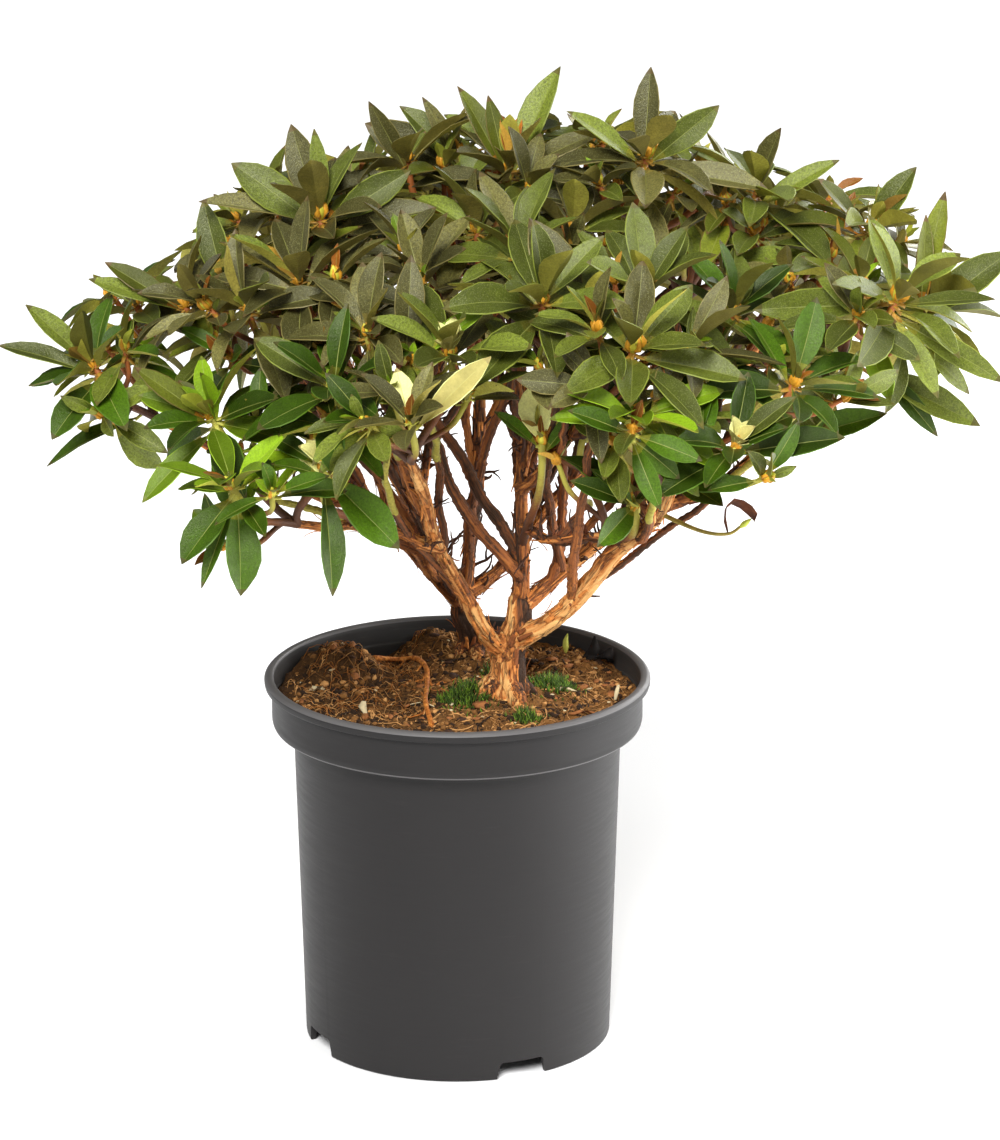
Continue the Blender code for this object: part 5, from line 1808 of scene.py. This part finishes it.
class SHRUB_OT_leaves(Step, bpy.types.Operator):
    """Grows a whorl of leaves at the end of every twig, each turned or shortened until it is clear"""

    bl_idname = "shrub.grow_leaves"
    bl_label = "Grow the leaves"

    # How rough the upper side of each tint is, how strong its pale specks are, how red its margin is, and how
    # strong its dark mottling is.
    looks = {
        "bronze": (0.36, 0.38, 0.25, 0.85),
        "olive": (0.34, 0.32, 0.15, 0.75),
        "green": (0.34, 0.06, 0.05, 0.55),
        "lime": (0.36, 0.05, 0.15, 0.4),
        "flush": (0.40, 0.14, 0.75, 0.5),
        "pale": (0.55, 0.04, 0.05, 0.25),
        "orange": (0.42, 0.10, 0.50, 0.5),
    }

    def execute(self, context):
        settings = context.scene.shrub_leaves
        rng = random.Random(73)
        self.width = settings.width
        self.heaps = {tint: Heap("leaves_" + tint, "tone") for tint in TINTS}
        self.petioles = Heap("petioles")
        self.placed = list(plant().placed)
        outer_first = sorted(plant().whorls, key=lambda whorl: -whorl.size)
        self.aims = {}
        for whorl in outer_first:
            self.aims[whorl] = [self.aimed_leaf(whorl, *aim, rng) for aim in whorl.aimed]
        for whorl in outer_first:
            self.whorl_of_leaves(whorl, rng)
        for tint, heap in self.heaps.items():
            smooth(settle(heap.make(self.finishes(tint, settings)), "foliage", *plant().foliage), 28.0)
        settle(self.petioles.make(plains(
            ("stalk_red", (144, 66, 26), 0.45, 0.3), ("stalk_amber", (162, 122, 44), 0.45, 0.3),
            ("stalk_green", (160, 160, 52), 0.45, 0.3), ("stalk_yellow", (190, 186, 84), 0.45, 0.3),
        )), "foliage")
        return {"FINISHED"}

    def finishes(self, tint, settings):
        """The finishes of a tint: upper side, its foot, midrib, margin, underside, base and tip."""
        base = getattr(settings, tint)
        roughness, specks, redness, mottle = self.looks[tint]
        yellow = linear(200, 120, 34) if tint in ("flush", "orange") else linear(190, 162, 56)
        footing = 0.6 if tint == "flush" else 0.16
        # The margin is the leaf's own pale rolled edge, made lighter still as a painted highlight along it,
        # and reddened by the tint's redness.
        edge = blend(shade(base, 2.2), settings.margin, redness)
        under = blend(settings.under, shade(base, 1.2), 0.45)
        return (
            leaf_finish("leaf_" + tint, base, roughness, specks, mottle),
            leaf_finish("foot_" + tint, blend(base, yellow, footing), roughness, specks, mottle),
            plain("rib_" + tint, blend(base, settings.rib, 0.60 if tint == "green" else 0.45), 0.5, 0.12),
            plain("margin_" + tint, edge, 0.5, 0.2),
            leaf_finish("under_" + tint, under, 0.62, 0.10, mottle * 0.7),
            plain("base_" + tint, blend(base, yellow, footing + 0.34), 0.5, 0.2),
            plain("tip_" + tint, blend(base, settings.margin, max(0.4, redness)), 0.5, 0.3),
        )

    def aimed_leaf(self, whorl, pixel, tint, width, start, rng):
        """Grows a leaf whose tip shows at a pixel of the photograph, and returns the way that it points."""
        root = start or whorl.tip - whorl.way * WHORL_LENGTH * rng.uniform(0.2, 0.8)
        shown, scale = on_photo(root)
        across, down = (Vector(pixel) - shown) / scale
        reach = min(math.hypot(across, down), LEAF_LENGTH * 1.3)
        longest = 0.0 if tint == "pale" else LEAF_LENGTH * whorl.size * 0.95
        depth = math.sqrt(max(longest, reach * 1.01) ** 2 - reach ** 2) * 0.7
        back = camera_back()
        outwards = 1.0 if (root - CROWN_FOCUS).dot(back) > 0 else -1.0
        flat = (Vector((1, 0, 0)) * across - camera_up() * down).normalized()
        way = (flat * reach + back * depth * outwards).normalized()
        face = back * 0.8 + Vector((rng.uniform(-0.25, 0.25), 0.0, 0.6))
        pose = root, way, (face - way * face.dot(way)).normalized(), math.hypot(reach, depth)
        width *= AIMED_WIDTH
        self.keep_clear(whorl, pose, self.width * width)
        self.leaf(tint, whorl, pose, 0.2, rng, width, 0.45)
        return way

    def keep_clear(self, whorl, pose, width, others=()):
        """Adds a leaf's plain shape to what is placed, unless it touches one of the others."""
        root, way, _, length = pose
        leaf = Placed(plain_leaf(*pose, width), [root, root + way * length], whorl.mass, whorl)
        if any(leaf.touches(other) for other in others):
            return False
        self.placed.append(leaf)
        return True

    def whorl_of_leaves(self, whorl, rng):
        others = [
            other for other in self.placed
            if other.whorl is not whorl and (other.mass is not whorl.mass or other.whorl is not None)
            and (other.centre - whorl.tip).length < other.reach + LEAF_LENGTH * 1.2
        ]
        for order in range(whorl.leaves):
            for lift, turn, share in LEAF_TRIES:
                share *= rng.uniform(0.90, 1.08)
                lift, turn = lift + rng.uniform(-6, 6), turn + rng.uniform(-9, 9)
                pose = leaf_pose(whorl, order, lift, turn, share)
                root, way, _, length = pose
                hidden = any(way.dot(aim) > 0.90 for aim in self.aims[whorl])
                if hidden or not within_crown(root + way * length):
                    continue
                if self.keep_clear(whorl, pose, self.width, others):
                    self.leaf(self.tint_of(whorl, rng), whorl, pose, order / (whorl.leaves - 1), rng)
                    break
        self.heart(whorl, rng)

    def tint_of(self, whorl, rng):
        """The tint of a leaf: its whorl's, with now and then another of its part of the crown."""
        return whorl.mass.deal(rng) if rng.random() < 0.2 else whorl.tint

    def heart(self, whorl, rng):
        """The small upright leaves and bracts round the bud."""
        young = {
            "orange": ("orange", "flush", 0.026, 0.040, 7),
            "flush": ("flush", "orange", 0.018, 0.034, 6),
            "lime": ("lime", "flush", 0.020, 0.036, 7),
            "pale": ("pale", "pale", 0.013, 0.023, 7),
            "bud": ("orange", "lime", 0.008, 0.014, 3),
        }.get(whorl.accent, (rng.choice(("orange", "lime", "flush")), "olive", 0.009, 0.024, 3))
        first, second, shortest, longest, number = young
        for order in range(number):
            pitch = math.radians(rng.uniform(48, 82))
            azimuth = math.radians(GOLDEN_TURN * order + whorl.turn + 60.0)
            way, face = turned(whorl.way, azimuth, pitch)
            pose = whorl.tip, way, face, rng.uniform(shortest, longest)
            tint = first if order % 2 == 0 else second
            self.leaf(tint, whorl, pose, 1.0, rng, 1.5 if whorl.accent == "pale" else 1.0)

    def leaf(self, tint, whorl, pose, place, rng, broad=1.0, arch=1.0):
        """One leaf with its stalk, a strap that leaves the twig along it and turns out."""
        root, way, face, length = pose
        corners = blade(
            length * (1 - PETIOLE_SHARE), self.width * broad * rng.uniform(0.86, 1.12),
            rng.uniform(0.25, 1.1) * (1 - 0.5 * place) * arch, rng.uniform(0.65, 1.40),
            rng.uniform(-0.6, 0.6), rng.uniform(0.0, 0.12), rng.uniform(0, math.tau),
        )
        across = way.cross(face).normalized()
        up = across.cross(way)
        roll = Matrix.Rotation(rng.uniform(-0.4, 0.4), 3, way)
        across, up = roll @ across, roll @ up
        start = root + way * length * PETIOLE_SHARE
        turn = np.array((tuple(across), tuple(way), tuple(up)))
        tone = min(1.0, max(0.0, rng.gauss(0.26, 0.25)))
        self.heaps[tint].add(corners @ turn + np.array(tuple(start)), BLADE_FACES, BLADE_LOOKS, tone=tone)
        wide = min(1.0, length / 0.045)
        below = root - whorl.way * 0.002
        middle = root.lerp(start, 0.45) + whorl.way * 0.0012 * wide
        end = start + way * length * 0.05 - up * 0.0007
        halves = [half * wide for half in (0.0016, 0.0015, 0.0012, 0.0010)]
        stalk = ribbon((below, root, middle, end), across, up, halves, 0.0009 * wide)
        young = 2 * int(whorl.mass.name in GREEN_TWIGS)
        self.petioles.add(*stalk, [young] * 5 + [young + 1] * 9)


def wander(start, way, length, pieces, rng, stray=0.5):
    """A crooked route that wanders on from a start."""
    route = [start]
    for _ in range(pieces):
        way = (way + jitter(rng, stray)).normalized()
        route.append(route[-1] + way * length / pieces)
    return route, way


class SHRUB_OT_dead_wood(Step, bpy.types.Operator):
    """Adds thin dead twigs and broken stubs to the boughs, and the low twig with its withered leaf"""

    bl_idname = "shrub.add_dead_wood"
    bl_label = "Add the dead wood"

    def execute(self, context):
        settings = context.scene.shrub_bark
        rng = random.Random(83)
        heap = Heap("dead_twigs")
        stems = [name for name, *_ in STEMS]
        boughs = [strand for strand in strands() if strand.name not in stems]
        for strand in rng.choices(boughs, k=settings.dead):
            station = rng.randrange(4, round(len(strand.route) * 0.8))
            start, out = self.off(strand, station, rng)
            length = rng.uniform(0.006, 0.024)
            route, way = wander(start, out, length, 6, rng, 0.32)
            thick = rng.uniform(0.0006, 0.0011)
            heap.add(*rod(route, [thick * share for share in (1.2, 1.0, 0.95, 0.9, 0.8, 0.7, 0.4)], 5))
            if rng.random() < 0.7:
                side, _ = wander(route[3], (way + out.orthogonal()).normalized(), length * 0.5, 4, rng)
                heap.add(*rod(side, [thick * share for share in (0.8, 0.7, 0.6, 0.5, 0.3)], 4))
        for strand in rng.choices(boughs, k=settings.stubs):
            station = rng.randrange(4, len(strand.route) - 2)
            start, out = self.off(strand, station, rng)
            route, _ = wander(start, out, rng.uniform(0.002, 0.007), 2, rng, 0.3)
            heap.add(*rod(route, [0.0009, 0.0007, 0.0004], 5), rng.choice((0, 1)))
        settle(heap.make(plains(
            ("dead_bark", (74, 48, 34), 0.9, 0.4, 500.0), ("stub_bark", (112, 62, 36), 0.85, 0.4, 500.0),
        )), "bark")
        self.low_twig(rng)
        return {"FINISHED"}

    def low_twig(self, rng):
        """The thin live twig that leaves the right bough low down, with a withered leaf curled on it."""
        strand = next(strand for strand in strands() if strand.name == "right_low_bough")
        start = min(strand.route, key=lambda point: (on_photo(point)[0] - Vector(LOW_TWIG[0])).length)
        route, _ = rounded_route([start] + [shown_at(start, pixel, 0.010) for pixel in LOW_TWIG[1:]])
        heap = Heap("low_twig")
        heap.add(*rod(route, np.linspace(0.0016, 0.0009, len(route)), 6))
        way = (route[-1] - route[-3]).normalized()
        tip = [route[-1] + way * share for share in (-0.001, 0.0015, 0.004, 0.007)]
        heap.add(*rod(tip, (0.001, 0.0019, 0.0015, 0.0002), 7), 1)
        curled = [shown_at(start, (x, y), 0.010) for x, y, _ in WITHERED]
        lean = (camera_back() + Vector((0.35, 0, 0.75))).normalized()
        heap.add(*ribbon(curled, lean, Vector((0.3, 0, 1)), [half for *_, half in WITHERED], 0.0006), 2)
        settle(heap.make(plains(
            ("low_shoot", (150, 132, 60), 0.6, 0.3), ("low_bud", (196, 206, 84), 0.5, 0.1),
            ("withered_leaf", (104, 56, 30), 0.7, 0.5, 160.0),
        )), "foliage")

    def off(self, strand, station, rng):
        """A start on a limb's surface and a way out from it and up."""
        place = strand.frames[station]
        out = Vector((0, 0, -1))
        while out.z < -0.1:
            out = (place.to_3x3() @ circled(rng.uniform(0, math.tau), 0.25)).normalized()
        start = place.translation + out * strand.radii[station] * 0.7
        return start, (out + Vector((0, 0, 0.6))).normalized()


class SHRUB_OT_stage(Step, bpy.types.Operator):
    """Lays the plain pale floor, hangs the soft lights and sets the camera at the photograph's angle"""

    bl_idname = "shrub.set_stage"
    bl_label = "Set the stage"

    def execute(self, context):
        settings = context.scene.shrub_stage
        bm = bmesh.new()
        bmesh.ops.create_grid(bm, x_segments=1, y_segments=1, size=settings.reach)
        made = Finish("floor", 0.9, Specular_IOR_Level=0.1)
        made.shader.inputs["Base Color"].default_value = (*settings.floor, 1.0)
        floor = finished(bm, "floor", (made.material,))
        floor.data.transform(Matrix.Translation((0, 0, POT_LOW.z - GAP)))
        world = bpy.data.worlds.new("studio")
        world.use_nodes = True
        world.node_tree.nodes["Background"].inputs["Color"].default_value = (1.0, 1.0, 1.0, 1.0)
        world.node_tree.nodes["Background"].inputs["Strength"].default_value = settings.sky
        context.scene.world = world
        key = self.lamp("key", "SUN", settings.key, Vector((-0.6, -3.2, 2.9)))
        key.angle = math.radians(KEY_SOFTNESS)
        for name, place in (("edge", (1.5, -0.1, 0.5)), ("rim", (1.2, 1.3, 0.9))):
            self.lamp(name, "AREA", settings.edge, Vector(place)).size = 0.9
        camera = bpy.data.objects.new("camera", bpy.data.cameras.new("camera"))
        context.scene.collection.objects.link(camera)
        camera.data.lens = CAMERA_LENS
        camera.data.sensor_width = CAMERA_SENSOR
        camera.location = CAMERA_TARGET + camera_back() * CAMERA_DISTANCE
        camera.rotation_euler = (-camera_back()).to_track_quat("-Z", "Y").to_euler()
        context.scene.camera = camera
        context.scene.view_settings.view_transform = "Standard"
        return {"FINISHED"}

    def lamp(self, name, kind, power, place):
        lamp = bpy.data.lights.new(name, kind)
        lamp.energy = power
        obj = bpy.data.objects.new(name, lamp)
        bpy.context.scene.collection.objects.link(obj)
        obj.location = place
        obj.rotation_euler = (CAMERA_TARGET - place).to_track_quat("-Z", "Y").to_euler()
        return lamp


STEPS = (
    (SHRUB_OT_pot, "shrub_pot"),
    (SHRUB_OT_peat, "shrub_peat"),
    (SHRUB_OT_litter, None),
    (SHRUB_OT_wood, "shrub_bark"),
    (SHRUB_OT_flakes, None),
    (SHRUB_OT_twigs, None),
    (SHRUB_OT_leaves, "shrub_leaves"),
    (SHRUB_OT_dead_wood, None),
    (SHRUB_OT_stage, "shrub_stage"),
)
SETTINGS = {
    "shrub_pot": PotSettings,
    "shrub_peat": PeatSettings,
    "shrub_bark": BarkSettings,
    "shrub_leaves": LeafSettings,
    "shrub_stage": StageSettings,
}


class SHRUB_PT_panel(bpy.types.Panel):
    """Lists the steps that dress the shrub, with the settings of each"""

    bl_label = "Potted shrub"
    bl_idname = "SHRUB_PT_panel"
    bl_space_type = "VIEW_3D"
    bl_region_type = "UI"
    bl_category = "Shrub"

    def draw(self, context):
        for operator, settings in STEPS:
            if settings:
                box = self.layout.box()
                for key in SETTINGS[settings].__annotations__:
                    box.prop(getattr(context.scene, settings), key)
            self.layout.operator(operator.bl_idname)


def classes():
    return [*SETTINGS.values(), *(operator for operator, _ in STEPS), SHRUB_PT_panel]


def register():
    for each in classes():
        bpy.utils.register_class(each)
    for name, group in SETTINGS.items():
        setattr(bpy.types.Scene, name, PointerProperty(type=group))


def unregister():
    for name in SETTINGS:
        delattr(bpy.types.Scene, name)
    for each in reversed(classes()):
        bpy.utils.unregister_class(each)


def main():
    register()
    for operator, _ in STEPS:
        group, name = operator.bl_idname.split(".")
        getattr(getattr(bpy.ops, group), name)()


if __name__ == "__main__":
    main()
